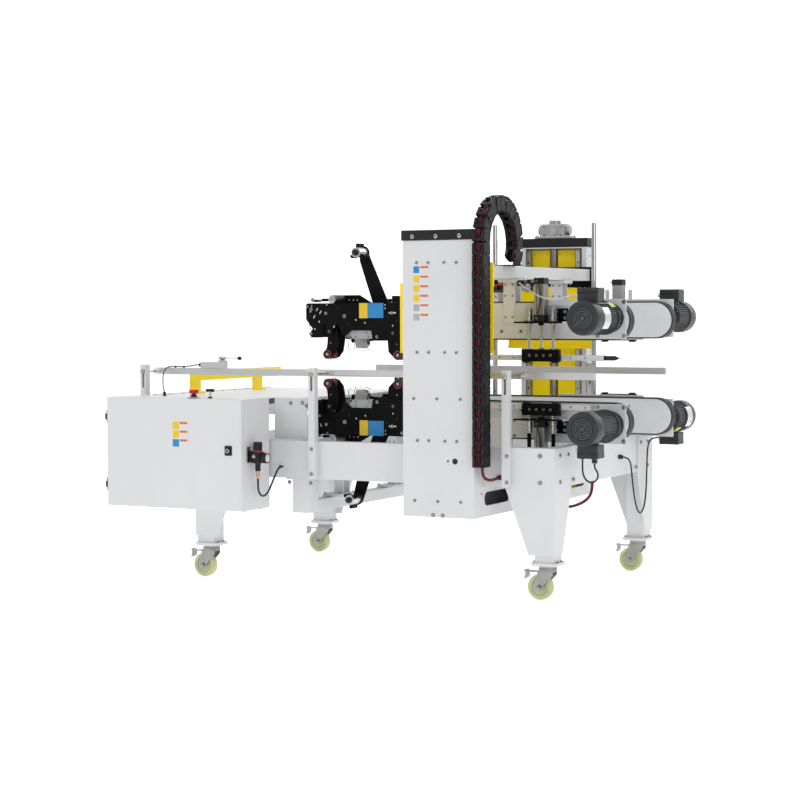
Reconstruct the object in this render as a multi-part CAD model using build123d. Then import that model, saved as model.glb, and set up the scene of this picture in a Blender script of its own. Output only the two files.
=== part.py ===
from build123d import *
import os
import math

# ---------------------------------------------------------------------------
# Automatic carton sealer for the edges of a carton: a caster frame, an infeed
# table, a lower and an upper pair of belt conveyors, four tape heads and a
# gantry that two towers lift. All sizes are millimetres, +Z is up, the floor
# is Z = 0, cartons travel along +X and the operator stands on the -Y side.
# ---------------------------------------------------------------------------

# --- placing: the numbers below are in the machine's own frame (Y = 0 is the
# middle of the belt line); the shift puts the origin under the box's middle
SHIFT_X = -6.0
SHIFT_Y = 76.0

# --- frame
FX0, FX1 = -774.0, 886.0      # frame ends
FY = 536.0                    # half width over the legs
BEAM_Z0, BEAM_Z1 = 440.0, 596.0
BEAM_T = 6.0
LEG_T = 6.0
LEG_BOT = 178.0
FOOT_Z0, FOOT_Z1 = 137.0, 149.0
FOOT_W = 112.0
LEG_TOP_W, LEG_MID_W, LEG_BOT_W = 228.0, 209.0, 110.0
LEG_SIDE_TOP, LEG_SIDE_BOT = 170.0, 84.0

# --- casters
CASTER_X = (-726.0, 838.0)
CASTER_Y = 486.0
TRAIL = 30.0
WHEEL_R = 50.0
WHEEL_W = 30.0

# --- low cross tube and the boxes that carry it
TUBE_X0, TUBE_X1 = -286.0, -226.0
TUBE_Z0, TUBE_Z1 = 297.0, 345.0
DROP_X0, DROP_X1 = -296.0, -216.0

# --- towers
TX0, TX1 = 265.0, 578.0
TOWER_OUT, TOWER_IN = 610.0, 530.0
TOWER_Z0, TOWER_Z1 = 316.0, 1409.0
TOWER_T = 5.0
LIP = 22.0
CAP_H = 40.0

# --- belts: the upper pair is the lower pair mirrored about MID_Z
MID_Z = 889.0
BELT_Z0, BELT_Z1 = 1012.0, 1167.0
BELT_X0, BELT_X1 = -250.0, 1093.0
BELT_T = 5.0
BELT_Y0, BELT_Y1 = 216.0, 264.0      # side plates' inner and outer face, from the middle
PULLEY_R = (BELT_Z1 - BELT_Z0) / 2
AXLE_X = BELT_X1 - PULLEY_R
AXLE_X0 = BELT_X0 + PULLEY_R
AXLE_Z = (BELT_Z0 + BELT_Z1) / 2

# --- motors
MOTOR_R = 60.0
COWL_R = 66.0
MOTOR_END = 567.0
MOTOR_UP = 11.5               # the motor stands this much off the pulley's height
FAR_MOTOR_END = 541.0
FAR_BOX_IN = 24.0             # the far motors' terminal boxes sit this much further in

# --- table
TABLE_X0, TABLE_X1 = -1066.0, -264.0
TABLE_Y = 480.0
TABLE_Z = 770.0

# --- control box
BOX_X0, BOX_X1 = -1067.0, -400.0
BOX_Y0, BOX_Y1 = -760.0, -541.0
BOX_Z0, BOX_Z1 = 315.0, 773.0
DOOR_D = 22.0

# --- rails
RAIL_Y0, RAIL_Y1 = 368.0, 384.0
RAIL_Z0, RAIL_Z1 = 858.0, 887.0
ROD_Z = 872.5
POST_XS = (-1056.0, -186.0, 690.0)
POST_W = 30.0

# --- gantry
GAN_X0, GAN_X1 = 543.0, 603.0
GAN_Z0, GAN_Z1 = 1259.0, 1309.0

# --- cable chain
CH_X0, CH_X1 = 583.0, 635.0
CH_Y0, CH_Y1 = -640.0, -577.0
CH_R = 156.0                  # bend of the loop, on its middle line
CH_R2 = 120.0                 # tighter bend of its last links
CH_A2 = 33.0                  # how far those turn
CH_CZ = 1397.0
CH_BOT = 521.0


# ------------------------------------------------------------------ helpers
def bx(x0, x1, y0, y1, z0, z1):
    return Pos((x0 + x1) / 2, (y0 + y1) / 2, (z0 + z1) / 2) * Box(
        abs(x1 - x0), abs(y1 - y0), abs(z1 - z0))


def cz(x, y, r, z0, z1):
    return Pos(x, y, (z0 + z1) / 2) * Cylinder(r, abs(z1 - z0))


def cy(x, z, r, y0, y1):
    return Pos(x, (y0 + y1) / 2, z) * Rot(90, 0, 0) * Cylinder(r, abs(y1 - y0))


def cx(y, z, r, x0, x1):
    return Pos((x0 + x1) / 2, y, z) * Rot(0, 90, 0) * Cylinder(r, abs(x1 - x0))


def prism_y(pts, y0, y1):
    w = Wire.make_polygon([Vector(x, y0, z) for x, z in pts], close=True)
    return Solid.extrude(Face(w), Vector(0, y1 - y0, 0))


def prism_x(pts, x0, x1):
    w = Wire.make_polygon([Vector(x0, y, z) for y, z in pts], close=True)
    return Solid.extrude(Face(w), Vector(x1 - x0, 0, 0))


def prism_z(pts, z0, z1):
    w = Wire.make_polygon([Vector(x, y, z0) for x, y in pts], close=True)
    return Solid.extrude(Face(w), Vector(0, 0, z1 - z0))


def fuse(first, *rest):
    out = first
    for s in rest:
        out = out + s
    return out


def my(s):
    return s.mirror(Plane.XZ)


def mz(s):
    return s.mirror(Plane.XY.offset(MID_Z))


def mxc(s, x):
    return s.mirror(Plane.YZ.offset(x))


PARTS = {}


def put(name, *shapes):
    PARTS.setdefault(name, []).extend(shapes)


def solids_of(shape):
    if isinstance(shape, Solid):
        return [shape]
    return list(shape.solids())


def stadium(x0, x1, z0, z1, y0, y1):
    r = (z1 - z0) / 2
    zc = (z0 + z1) / 2
    return fuse(bx(x0 + r, x1 - r, y0, y1, z0, z1), cy(x0 + r, zc, r, y0, y1),
                cy(x1 - r, zc, r, y0, y1))


def slotted_y(x, z0, z1, r, y0, y1):
    return fuse(bx(x - r, x + r, y0, y1, z0, z1), cy(x, z0, r, y0, y1),
                cy(x, z1, r, y0, y1))


def along(end, toward, r, length):
    """A short cylinder from a point along a direction: a gland or grommet."""
    return extrude(Plane(origin=Vector(*end), z_dir=Vector(*toward)) * Circle(r), amount=length)


# ==================================================================== frame
def side_beam(sy):
    y1 = -(FY - LEG_T)
    web = bx(FX0 + LEG_T, FX1 - LEG_T, y1, y1 + BEAM_T, BEAM_Z0, BEAM_Z1)
    top = bx(FX0 + LEG_T, FX1 - LEG_T, y1, y1 + 50, BEAM_Z1 - BEAM_T, BEAM_Z1)
    bot = bx(FX0 + LEG_T, FX1 - LEG_T, y1, y1 + 50, BEAM_Z0, BEAM_Z0 + BEAM_T)
    b = fuse(web, top, bot)
    b = b - cy(651, 558, 9, y1 - 5, y1 + BEAM_T + 5)
    if sy > 0:
        return my(b)
    # a grommet for the chain's cable and a gland for the air hose
    b = b + along((651, -535, 478), (0, 25, 4), 12, 9)
    return b + along((-348, -536, 489), (0, 19, 7), 9, 9)


def end_beam(right):
    x1 = FX1 - LEG_T
    y = FY - LEG_T - BEAM_T
    web = bx(x1 - BEAM_T, x1, -y, y, BEAM_Z0, BEAM_Z1)
    top = bx(x1 - 50, x1, -y, y, BEAM_Z1 - BEAM_T, BEAM_Z1)
    bot = bx(x1 - 50, x1, -y, y, BEAM_Z0, BEAM_Z0 + BEAM_T)
    b = fuse(web, top, bot)
    return b if right else mxc(b, (FX0 + FX1) / 2)


frame = fuse(side_beam(-1), side_beam(1), end_beam(True), end_beam(False),
             along((893, 164, 518), (-14, -12, 2), 9, 20),
             cz(856, -75, 12, BEAM_Z0 - 12, BEAM_Z0 + BEAM_T))
put("main_frame", frame)


def leg():
    # the near right leg; the other three are its mirror images
    x1 = FX1
    front = prism_y([(x1, BEAM_Z1), (x1 - LEG_TOP_W, BEAM_Z1),
                     (x1 - LEG_MID_W, BEAM_Z0 - 2), (x1 - LEG_BOT_W, LEG_BOT),
                     (x1, LEG_BOT)], -FY, -FY + LEG_T)
    side = prism_x([(-FY, BEAM_Z1), (-FY + LEG_SIDE_TOP, BEAM_Z1),
                    (-FY + LEG_SIDE_TOP, BEAM_Z0 - 12),
                    (-FY + LEG_SIDE_BOT, LEG_BOT), (-FY, LEG_BOT)],
                   x1 - LEG_T, x1)
    # the post inside the fold carries the foot plate
    xc, yc = CASTER_X[1], -CASTER_Y
    post = bx(xc - 38, x1 - LEG_T, -FY + LEG_T, yc + 38, FOOT_Z1, BEAM_Z0)
    neck = bx(xc - 38, x1 - LEG_T, -FY + LEG_T, yc + 38, FOOT_Z1, LEG_BOT)
    hollow = bx(xc - 34, x1 - LEG_T - 4, -FY + LEG_T + 4, yc + 34, LEG_BOT + 30,
                BEAM_Z0 - 6)
    post = post - hollow
    f = FOOT_W / 2
    foot = prism_z([(xc - f, yc - f + 16), (xc - f + 16, yc - f),
                    (xc + f - 16, yc - f), (xc + f, yc - f + 16),
                    (xc + f, yc + f - 16), (xc + f - 16, yc + f),
                    (xc - f + 16, yc + f), (xc - f, yc + f - 16)],
                   FOOT_Z0, FOOT_Z1)
    return fuse(front, side, post, neck, foot)


leg_nr = leg()
leg_nl = mxc(leg_nr, (FX0 + FX1) / 2)
put("frame_legs", leg_nr, my(leg_nr), leg_nl, my(leg_nl))


# the bottom cross beams: a slotted box between the towers, a tube to its left
def slot_beam():
    y = TOWER_IN
    outer = bx(458, TX1, -y, y, TOWER_Z0, BEAM_Z0 - 1)
    inner = bx(463, TX1 - 5, -y - 1, y + 1, TOWER_Z0 + 5, BEAM_Z0 - 6)
    b = outer - inner
    for s in (-1, 1):
        c = s * 396.0
        b = b - fuse(bx(TX1 - 10, TX1 + 10, c - 92, c + 92, 360, 414),
                     cx(c - 92, 387, 27, TX1 - 10, TX1 + 10),
                     cx(c + 92, 387, 27, TX1 - 10, TX1 + 10))
    return b + along((590, -145, 385), (-16, 0, 5), 12, 16)


def left_tube():
    # a low square tube hung under the side beams on two square drop boxes
    yb = FY - LEG_T
    t = bx(TUBE_X0, TUBE_X1, -yb + 75, yb - 75, TUBE_Z0, TUBE_Z1)
    t = t - bx(TUBE_X0 + 4, TUBE_X1 - 4, -yb + 70, yb - 70, TUBE_Z0 + 4, TUBE_Z1 - 4)
    h = bx(DROP_X0, DROP_X1, -yb, -yb + 75, TUBE_Z0, BEAM_Z0)
    h = h - bx(DROP_X0 + 4, DROP_X1 - 4, -yb + 4, -yb + 71, TUBE_Z0 - 1, BEAM_Z0 - 8)
    h = h + bx(DROP_X0 - 30, DROP_X1 + 8, -yb, -yb + 80, BEAM_Z0 - 5, BEAM_Z0)
    return fuse(t, h, my(h))


put("bottom_cross_beams", slot_beam(), left_tube())


# =================================================================== towers
def housing():
    web = bx(TX0, TX1, -TOWER_OUT, -TOWER_OUT + TOWER_T, TOWER_Z0, TOWER_Z1)
    fl = bx(TX0, TX0 + TOWER_T, -TOWER_OUT, -TOWER_IN, TOWER_Z0, TOWER_Z1)
    fr = bx(TX1 - TOWER_T, TX1, -TOWER_OUT, -TOWER_IN, TOWER_Z0, TOWER_Z1)
    lz0, lz1 = BEAM_Z1 + 4, TOWER_Z1
    ll = bx(TX0, TX0 + LIP, -TOWER_IN - TOWER_T, -TOWER_IN, lz0, lz1)
    lr = bx(TX1 - LIP, TX1, -TOWER_IN - TOWER_T, -TOWER_IN, lz0, lz1)
    top = bx(TX0, TX1, -TOWER_OUT, -TOWER_IN, TOWER_Z1 - TOWER_T, TOWER_Z1)
    bot = bx(TX0, TX1, -TOWER_OUT, -TOWER_IN, TOWER_Z0, TOWER_Z0 + TOWER_T)
    return fuse(web, fl, fr, ll, lr, top, bot)


put("tower_housings", housing(), my(housing()))

cap = bx(TX0 - 4, TX1 + 4, -TOWER_OUT - 6, -TOWER_IN, TOWER_Z1, TOWER_Z1 + CAP_H)
put("tower_caps", cap, my(cap))

# yellow guard strips at the back of each tower
for s in (1, -1):
    for x0, x1 in ((299, 383), (423, 506)):
        p = bx(x0, x1, -582, -578, TOWER_Z0 + 12, TOWER_Z1 - 12)
        put("tower_guard_strips", p if s > 0 else my(p))

# guide rails and the screw in each tower
for s in (1, -1):
    for q in (bx(276, 292, -600, -566, TOWER_Z0 + 12, TOWER_Z1 - 12),
              bx(514, 532, -600, -566, TOWER_Z0 + 12, TOWER_Z1 - 12),
              cz(403, -582, 14, TOWER_Z0 + 8, TOWER_Z1 - 6)):
        put("tower_rails", q if s > 0 else my(q))

# gearbox on the far tower
gb = fuse(bx(330, 498, 532, 610, TOWER_Z1 + CAP_H, TOWER_Z1 + CAP_H + 10),
          bx(352, 470, 540, 604, TOWER_Z1 + CAP_H + 10, TOWER_Z1 + CAP_H + 62),
          cz(411, 572, 27, TOWER_Z1 + CAP_H + 62, TOWER_Z1 + CAP_H + 78),
          cx(572, TOWER_Z1 + CAP_H + 36, 21, 338, 486))
put("lift_gearbox", gb)

# vertical guide tubes beside the far tower
for x in (190, 661):
    put("tower_rails", cz(x, 416, 11, BEAM_Z1, 1508) - cz(x, 416, 9, BEAM_Z1 - 1, 1509))
for x0, x1 in ((177, 203), (648, 674)):
    put("tower_rails", bx(x0, x1, 400, FY - LEG_T - 50, BEAM_Z1 - 16, BEAM_Z1))

# ==================================================================== table
deck = bx(TABLE_X0 + 74, TABLE_X1, -TABLE_Y, TABLE_Y, TABLE_Z - 4, TABLE_Z)
for i in range(9):
    y = -424 + i * 106
    deck = deck - bx(TABLE_X0 + 70, TABLE_X0 + 92, y - 8, y + 8, TABLE_Z - 10, TABLE_Z + 10)
skirts = fuse(bx(TABLE_X0, TABLE_X1, -TABLE_Y, -TABLE_Y + 4, TABLE_Z - 70, TABLE_Z),
              bx(TABLE_X0, TABLE_X1, TABLE_Y - 4, TABLE_Y, TABLE_Z - 70, TABLE_Z),
              bx(TABLE_X0, TABLE_X0 + 4, -TABLE_Y, TABLE_Y, TABLE_Z - 70, TABLE_Z - 18),
              bx(TABLE_X1 - 172, TABLE_X1 - 168, -TABLE_Y, TABLE_Y, TABLE_Z - 70, TABLE_Z))


def stand_panel():
    # a folded panel that carries the table on the frame
    a = bx(-408, -250, -TABLE_Y - 4, -TABLE_Y, BEAM_Z1, TABLE_Z - 1)
    b = bx(-408, -404, -TABLE_Y - 4, -TABLE_Y + 60, BEAM_Z1, TABLE_Z - 71)
    c = bx(-254, -250, -TABLE_Y - 4, -TABLE_Y + 60, BEAM_Z1, TABLE_Z - 71)
    d = bx(-408, -250, -526, -TABLE_Y, BEAM_Z1, BEAM_Z1 + 4)
    e = bx(-700, -640, -TABLE_Y, -TABLE_Y + 40, BEAM_Z1, TABLE_Z - 70)
    g = bx(-700, -640, -526, -TABLE_Y, BEAM_Z1, BEAM_Z1 + 4)
    return fuse(a, b, c, d), fuse(e, g)


sp, se = stand_panel()
table = fuse(deck, skirts, sp, se, my(sp), my(se))

# entry roller: short rollers on one shaft across the table's left end
shaft = cy(TABLE_X0 + 42, TABLE_Z - 22, 7, -TABLE_Y + 2, TABLE_Y - 2)
rollers = shaft
for i in range(9):
    y = -424 + i * 106
    rollers = rollers + cy(TABLE_X0 + 42, TABLE_Z - 22, 26, y - 48, y + 48)
put("infeed_table", fuse(table, rollers))

# yellow gate over the table
gx = -958.0
gate = fuse(bx(gx, gx + 8, -297, -219, TABLE_Z, 870),
            bx(gx, gx + 8, 219, 297, TABLE_Z, 870),
            bx(gx, gx + 8, -297, 465, 826, 870),
            bx(gx, gx + 30, -297, -219, TABLE_Z, TABLE_Z + 6),
            bx(gx, gx + 30, 219, 297, TABLE_Z, TABLE_Z + 6))
put("yellow_gate", gate)

# ============================================================== control box
shell = bx(BOX_X0, BOX_X1, BOX_Y0 + DOOR_D + 1, BOX_Y1, BOX_Z0, BOX_Z1)
shell = shell - bx(BOX_X0 + 4, BOX_X1 - 4, BOX_Y0 - 5, BOX_Y1 - 4, BOX_Z0 + 4, BOX_Z1 - 4)
lipf = bx(BOX_X0 + 4, BOX_X1 - 4, BOX_Y0 + DOOR_D + 1, BOX_Y0 + DOOR_D + 4, BOX_Z0 + 4, BOX_Z1 - 4)
lipf = lipf - bx(BOX_X0 + 22, BOX_X1 - 22, BOX_Y0, BOX_Y0 + 80, BOX_Z0 + 22, BOX_Z1 - 22)
plate = bx(BOX_X0 + 40, BOX_X1 - 40, BOX_Y1 - 22, BOX_Y1 - 19, BOX_Z0 + 40, BOX_Z1 - 40)
box = fuse(shell, lipf, plate)
for x in (BOX_X0 + 60, BOX_X1 - 60):
    for z in (BOX_Z0 + 60, BOX_Z1 - 60):
        box = box + cy(x, z, 6, BOX_Y1 - 19.5, BOX_Y1 - 3.5)
# brackets that carry the box on the table's skirt and the side beam
box = box + bx(-760, -700, BOX_Y1, -TABLE_Y - 0.0, TABLE_Z - 60, TABLE_Z - 54)
box = box + bx(-960, -900, BOX_Y1, -TABLE_Y - 0.0, TABLE_Z - 60, TABLE_Z - 54)
box = box + bx(-500, -440, BOX_Y1, -FY + LEG_T, 500, 506)
box = box + bx(-760, -700, BOX_Y1, -FY, 500, 506)
# feet under the box
for x in (BOX_X0 + 90, BOX_X1 - 12):
    for y in (BOX_Y0 + 45, BOX_Y1 - 45):
        box = box + cz(x - 6, y, 9, BOX_Z0 - 5, BOX_Z0)
put("control_box", box)

hx, hy = BOX_X0 - 7.0, BOX_Y0 + DOOR_D - 4
dd = bx(BOX_X0 + 0.5, BOX_X1, BOX_Y0, BOX_Y0 + DOOR_D, BOX_Z0 + 1, BOX_Z1 - 1)
dd = dd - bx(BOX_X0 + 3, BOX_X1 - 2.5, BOX_Y0 + 2.5, BOX_Y0 + DOOR_D + 5, BOX_Z0 + 3.5, BOX_Z1 - 3.5)
# lock and hinge leaves
lock = fuse(bx(-478, -445, BOX_Y0 - 4, BOX_Y0, 543, 583), cy(-461.5, 563, 8, BOX_Y0 - 8, BOX_Y0))
dd = dd + lock
dd = dd + cy(-461.5, 563, 8, BOX_Y0 + 2, BOX_Y0 + DOOR_D - 3)
for z in (405.0, 690.0):
    dd = dd + fuse(cz(hx, hy, 7, z - 13, z + 13),
                   bx(hx, BOX_X0 + 14, BOX_Y0 + 4, BOX_Y0 + 10, z - 13, z + 13),
                   bx(hx - 6, hx + 5, BOX_Y0 + 4, hy, z - 13, z + 13))
put("control_box_door", dd)
for z in (405.0, 690.0):
    for a, b in ((z - 27, z - 13.5), (z + 13.5, z + 27)):
        put("box_hinges", fuse(cz(hx, hy, 7, a, b),
                               bx(hx + 2, BOX_X0, hy + 2, hy + 6.5, a, b),
                               bx(BOX_X0 - 3, BOX_X0, hy + 2, hy + 30, a, b)))
# the pin goes through all three knuckles with running clearance
PARTS["control_box_door"] = [fuse(*PARTS["control_box_door"]) - cz(hx, hy, 3.35, 370, 730)]
knuckles = PARTS.pop("box_hinges")
for k in knuckles:
    box = box + (k - cz(hx, hy, 2.5, 370, 730))
for z in (405.0, 690.0):
    box = box + cz(hx, hy, 3.0, z - 27, z + 27)
PARTS["control_box"] = [box]

# operator controls on the box's top belong to the box
STOP_X, STOP_Y = -652.0, -724.0
SEL_X, SEL_Y = -584.0, -705.0
box = box + fuse(cz(STOP_X, STOP_Y, 23, BOX_Z1, BOX_Z1 + 5), cz(STOP_X, STOP_Y, 13, BOX_Z1 + 4, BOX_Z1 + 14),
                 cz(SEL_X, SEL_Y, 9, BOX_Z1, BOX_Z1 + 6), cz(SEL_X, SEL_Y, 5, BOX_Z1, BOX_Z1 + 33),
                 cx(SEL_Y, BOX_Z1 + 33, 6.5, SEL_X - 18, SEL_X + 18))
box = box - cz(STOP_X, STOP_Y, 8.35, BOX_Z1 + 0.5, BOX_Z1 + 20)
# a small gland behind the controls takes the limit switch's cable
box = box + along((-896, -583, 788), (6, -5, -14), 7, 18)
PARTS["control_box"] = [box]
put("emergency_stop_button", fuse(cz(STOP_X, STOP_Y, 8, BOX_Z1 + 7, BOX_Z1 + 22),
                                  cz(STOP_X, STOP_Y, 20, BOX_Z1 + 20.5, BOX_Z1 + 36)))

# air regulator on the box's right side
rx, ry = BOX_X1, -687.0
reg = fuse(bx(rx, rx + 4, ry - 34, ry + 26, 512, 578),
           bx(rx + 3, rx + 16, ry - 12, ry + 12, 536, 560),
           bx(rx + 14, rx + 54, ry - 21, ry + 21, 512, 556),
           cz(rx + 34, ry, 20, 555, 562),
           cz(rx + 34, ry, 18, 561, 597),
           cz(rx + 34, ry, 11, 478, 513),
           cz(rx + 34, ry, 7, 449, 480),
           cx(ry, 532, 7, rx + 52, rx + 60),
           cx(ry, 532, 21, rx + 58, rx + 80))
put("air_regulator", reg)

# =================================================================== rails

def post(x, y0, z0, z1):
    # square tube with a cap and an upright slot for the rail's rod
    p = bx(x - 15, x + 15, y0, y0 + POST_W, z0, z1)
    p = p - bx(x - 12.5, x + 12.5, y0 + 2.5, y0 + 27.5, z0 - 1, z1 - 2.5)
    rz = z1 - 898 + ROD_Z if z1 < 903 else ROD_Z
    return p - slotted_y(x, rz - 64.5, rz + 0.5, 4.8, y0 - 5, y0 + 35)


POST_Y0 = (-TABLE_Y - POST_W, -(FY - LEG_T) - POST_W, -FY - POST_W)
POST_Z0 = (TABLE_Z - 68, 442.0, 442.0)
POST_Z1 = (903.0, 898.0, 898.0)
FAR_POST_X = 596.0
for k in range(3):
    p = post(POST_XS[k], POST_Y0[k], POST_Z0[k], POST_Z1[k])
    put("guide_posts", p)
for x in (POST_XS[1], FAR_POST_X):
    put("guide_posts", my(post(x, POST_Y0[1], POST_Z0[1], POST_Z1[1])))


def rail(x0, x1, posts):
    # square tube with a rod, a bolt head and a clamping sleeve at each post
    r = bx(x0, x1, -RAIL_Y1, -RAIL_Y0, RAIL_Z0, RAIL_Z1)
    r = r - bx(x0 - 1, x1 + 1, -RAIL_Y1 + 2, -RAIL_Y0 - 2, RAIL_Z0 + 2, RAIL_Z1 - 2)
    r = r + bx(x0, x0 + 3, -RAIL_Y1, -RAIL_Y0, RAIL_Z0, RAIL_Z1)
    r = r + bx(x1 - 3, x1, -RAIL_Y1, -RAIL_Y0, RAIL_Z0, RAIL_Z1)
    for x, y0 in posts:
        r = r + cy(x, ROD_Z, 4.2, y0 - 12, -RAIL_Y1 + 0.5)
        r = r + cy(x, ROD_Z, 9.5, y0 - 9, y0 - 0.5)
        r = r + cy(x, ROD_Z, 9.5, y0 + POST_W + 0.5, y0 + POST_W + 9)
        r = r + cy(x, ROD_Z, 8.5, -RAIL_Y1 - 42, -RAIL_Y1 + 0.5)
    return r


near_rail = rail(-1079, 990, zip(POST_XS, POST_Y0))
far_rail = rail(-388, 1006, ((POST_XS[1], POST_Y0[1]), (FAR_POST_X, POST_Y0[1])))
put("guide_rail_far", my(far_rail))

# limit switch on top of the near rail
sw = fuse(bx(-838, -748, -392, -362, RAIL_Z1, RAIL_Z1 + 26),
          bx(-748, -716, -390, -364, RAIL_Z1, RAIL_Z1 + 34),
          cy(-732, RAIL_Z1 + 44, 8, -398, -360),
          bx(-737, -727, -384, -370, RAIL_Z1 + 30, RAIL_Z1 + 44),
          bx(-732, -640, -398, -394, RAIL_Z1 + 42, RAIL_Z1 + 46),
          cy(-634, RAIL_Z1 + 44, 8, -404, -392),
          cx(-377, RAIL_Z1 + 13, 8, -852, -838))
for x in (-930, -974):
    sw = sw + bx(x - 4, x + 4, -RAIL_Y1, -RAIL_Y0 - 12.4, RAIL_Z1, RAIL_Z1 + 7)
put("guide_rail_near", near_rail + sw)

# ================================================================= gantry
beam = bx(GAN_X0, GAN_X1, -512, 512, GAN_Z0, GAN_Z1)
beam = beam - bx(GAN_X0 + 4, GAN_X1 - 4, -516, 516, GAN_Z0 + 4, GAN_Z1 - 4)
beam2 = bx(GAN_X0 - 300, GAN_X0 - 240, -512, 512, GAN_Z0, GAN_Z1)
beam2 = beam2 - bx(GAN_X0 - 296, GAN_X0 - 244, -516, 516, GAN_Z0 + 4, GAN_Z1 - 4)
chain_foot = bx(GAN_X0 + 30, CH_X1 + 3, -402, -282, GAN_Z1, GAN_Z1 + 4)
chain_foot = chain_foot + bx(CH_X1 + 0.6, CH_X1 + 3.6, -372, -300, GAN_Z1, GAN_Z1 + 30)
put("gantry_beams", fuse(beam, chain_foot), beam2)


# carriage: the yellow plate inside each tower's open side, with its guide
# blocks and nut reaching into the tower and a block that takes the beams
cplate = bx(208, 620, -524, -518, 962, 1243)
cplate = cplate - bx(300, 540, -530, -512, 1000, 1120)
rim = bx(208, 620, -518, -512, 1225, 1243) + bx(208, 620, -518, -512, 962, 974)
block = bx(238, 620, -524, -512, 1236, 1320)
guide = fuse(bx(296, 336, -560, -524, 1180, 1300), bx(470, 510, -560, -524, 1180, 1300),
             bx(380, 426, -562, -524, 1200, 1270))
lift = fuse(cplate, rim, block, guide)
put("lift_carriages", lift, my(lift))

# ============================================================== cable chain
chain = bx(CH_X0, CH_X1, CH_Y0, CH_Y1, CH_BOT, CH_CZ - 0.5)
for z0 in (560, 1240):
    chain = chain + bx(TX1, CH_X0, CH_Y0 + 8, CH_Y1 - 8, z0, z0 + 40)
put("cable_chain_fixed", chain)
CH_MID = (CH_Y0 + CH_Y1) / 2
CH_H = (CH_Y1 - CH_Y0) / 2


def loop_edge(side):
    # the loop's outer (1) or inner (-1) edge: half a turn, then the tighter bend
    pts = []
    for i in range(31):
        t = math.pi * (1 - i / 30)
        r = CH_R + side * CH_H
        pts.append((CH_MID + CH_R + r * math.cos(t), CH_CZ + r * math.sin(t)))
    for i in range(1, 7):
        t = -math.radians(CH_A2) * i / 6
        r = CH_R2 + side * CH_H
        pts.append((CH_MID + 2 * CH_R - CH_R2 + r * math.cos(t), CH_CZ + r * math.sin(t)))
    return pts


ring = prism_x(loop_edge(1) + list(reversed(loop_edge(-1))), CH_X0, CH_X1)
put("cable_chain_loop", ring)


# ============================================ conveyors (upper near side first)
def conv_frame():
    r = BELT_T + 0.5
    y0, y1 = -BELT_Y1, -BELT_Y0
    z0, z1 = BELT_Z0 + r, BELT_Z1 - r
    x0, x1 = BELT_X0 + r, BELT_X1 - r
    a = stadium(x0, x1, z0, z1, y0, y0 + 5)
    b = stadium(x0, x1, z0, z1, y1 - 5, y1)
    # slider beds, spacers and pulleys with their axles
    beds = [bx(AXLE_X0 + 60, AXLE_X - 60, y0 + 5, y1 - 5, z0, z0 + 5),
            bx(AXLE_X0 + 60, AXLE_X - 60, y0 + 5, y1 - 5, z1 - 5, z1)]
    sp = [cy(x, AXLE_Z, 14, y0 + 4, y1 - 4) for x in (0, 250, 480, 760)]
    pul = [cy(x, AXLE_Z, PULLEY_R - r - 0.4, y0 + 6, y1 - 6) for x in (AXLE_X0, AXLE_X)]
    ax = [cy(AXLE_X0, AXLE_Z, 9, y0 - 3, y1), cy(AXLE_X, AXLE_Z, 9, y0, y1)]
    # the outer plate's top strip beside the motor's plate
    ax.append(bx(690, AXLE_X - 66, y0 - 6, y0, z1 - 12, BELT_Z1 + 9))
    return fuse(a, b, *beds, *sp, *pul, *ax)


def belt():
    o = stadium(BELT_X0, BELT_X1, BELT_Z0, BELT_Z1, -BELT_Y1 + 0.5, -BELT_Y0 - 0.5)
    i = stadium(BELT_X0 + BELT_T, BELT_X1 - BELT_T, BELT_Z0 + BELT_T, BELT_Z1 - BELT_T,
                -BELT_Y1 - 1, -BELT_Y0 + 1)
    return o - i


def motor(bottom_glands=False, end=MOTOR_END, box_in=0.0):
    x, z = AXLE_X, AXLE_Z
    zm = z + MOTOR_UP
    y0 = -BELT_Y1
    yb = -MOTOR_END + 91 + (MOTOR_END - end) + box_in
    m = fuse(bx(x - 66, x + 62, y0 - 8, y0, z - 72, BELT_Z1 + 9),
             cy(x, zm, 54, y0 - 70, y0 - 7),
             cy(x, zm, MOTOR_R, -end + 62, y0 - 68),
             cy(x, zm, COWL_R, -end, -end + 64))
    # terminal box on top with a gland on its left face
    m = m + bx(x - 26, x + 22, yb - 22, yb + 26, zm + 40, zm + 68)
    m = m + bx(x - 45, x + 40, yb - 34, yb + 34, z + 76, z + 126)
    m = m + cx(yb, z + 103, 9, x - 62, x - 44)
    if bottom_glands:
        m = m + cz(x - 36, yb, 7, z + 125, z + 134)
        m = m + cz(x + 14, yb, 11, z + 125, z + 148)
    return m


CYL_Y = -304.0
PR_HALF = 80.0
ROD_DX = 52.5
PLATE_Z0, PLATE_Z1 = 1080.0, 1087.0


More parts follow.
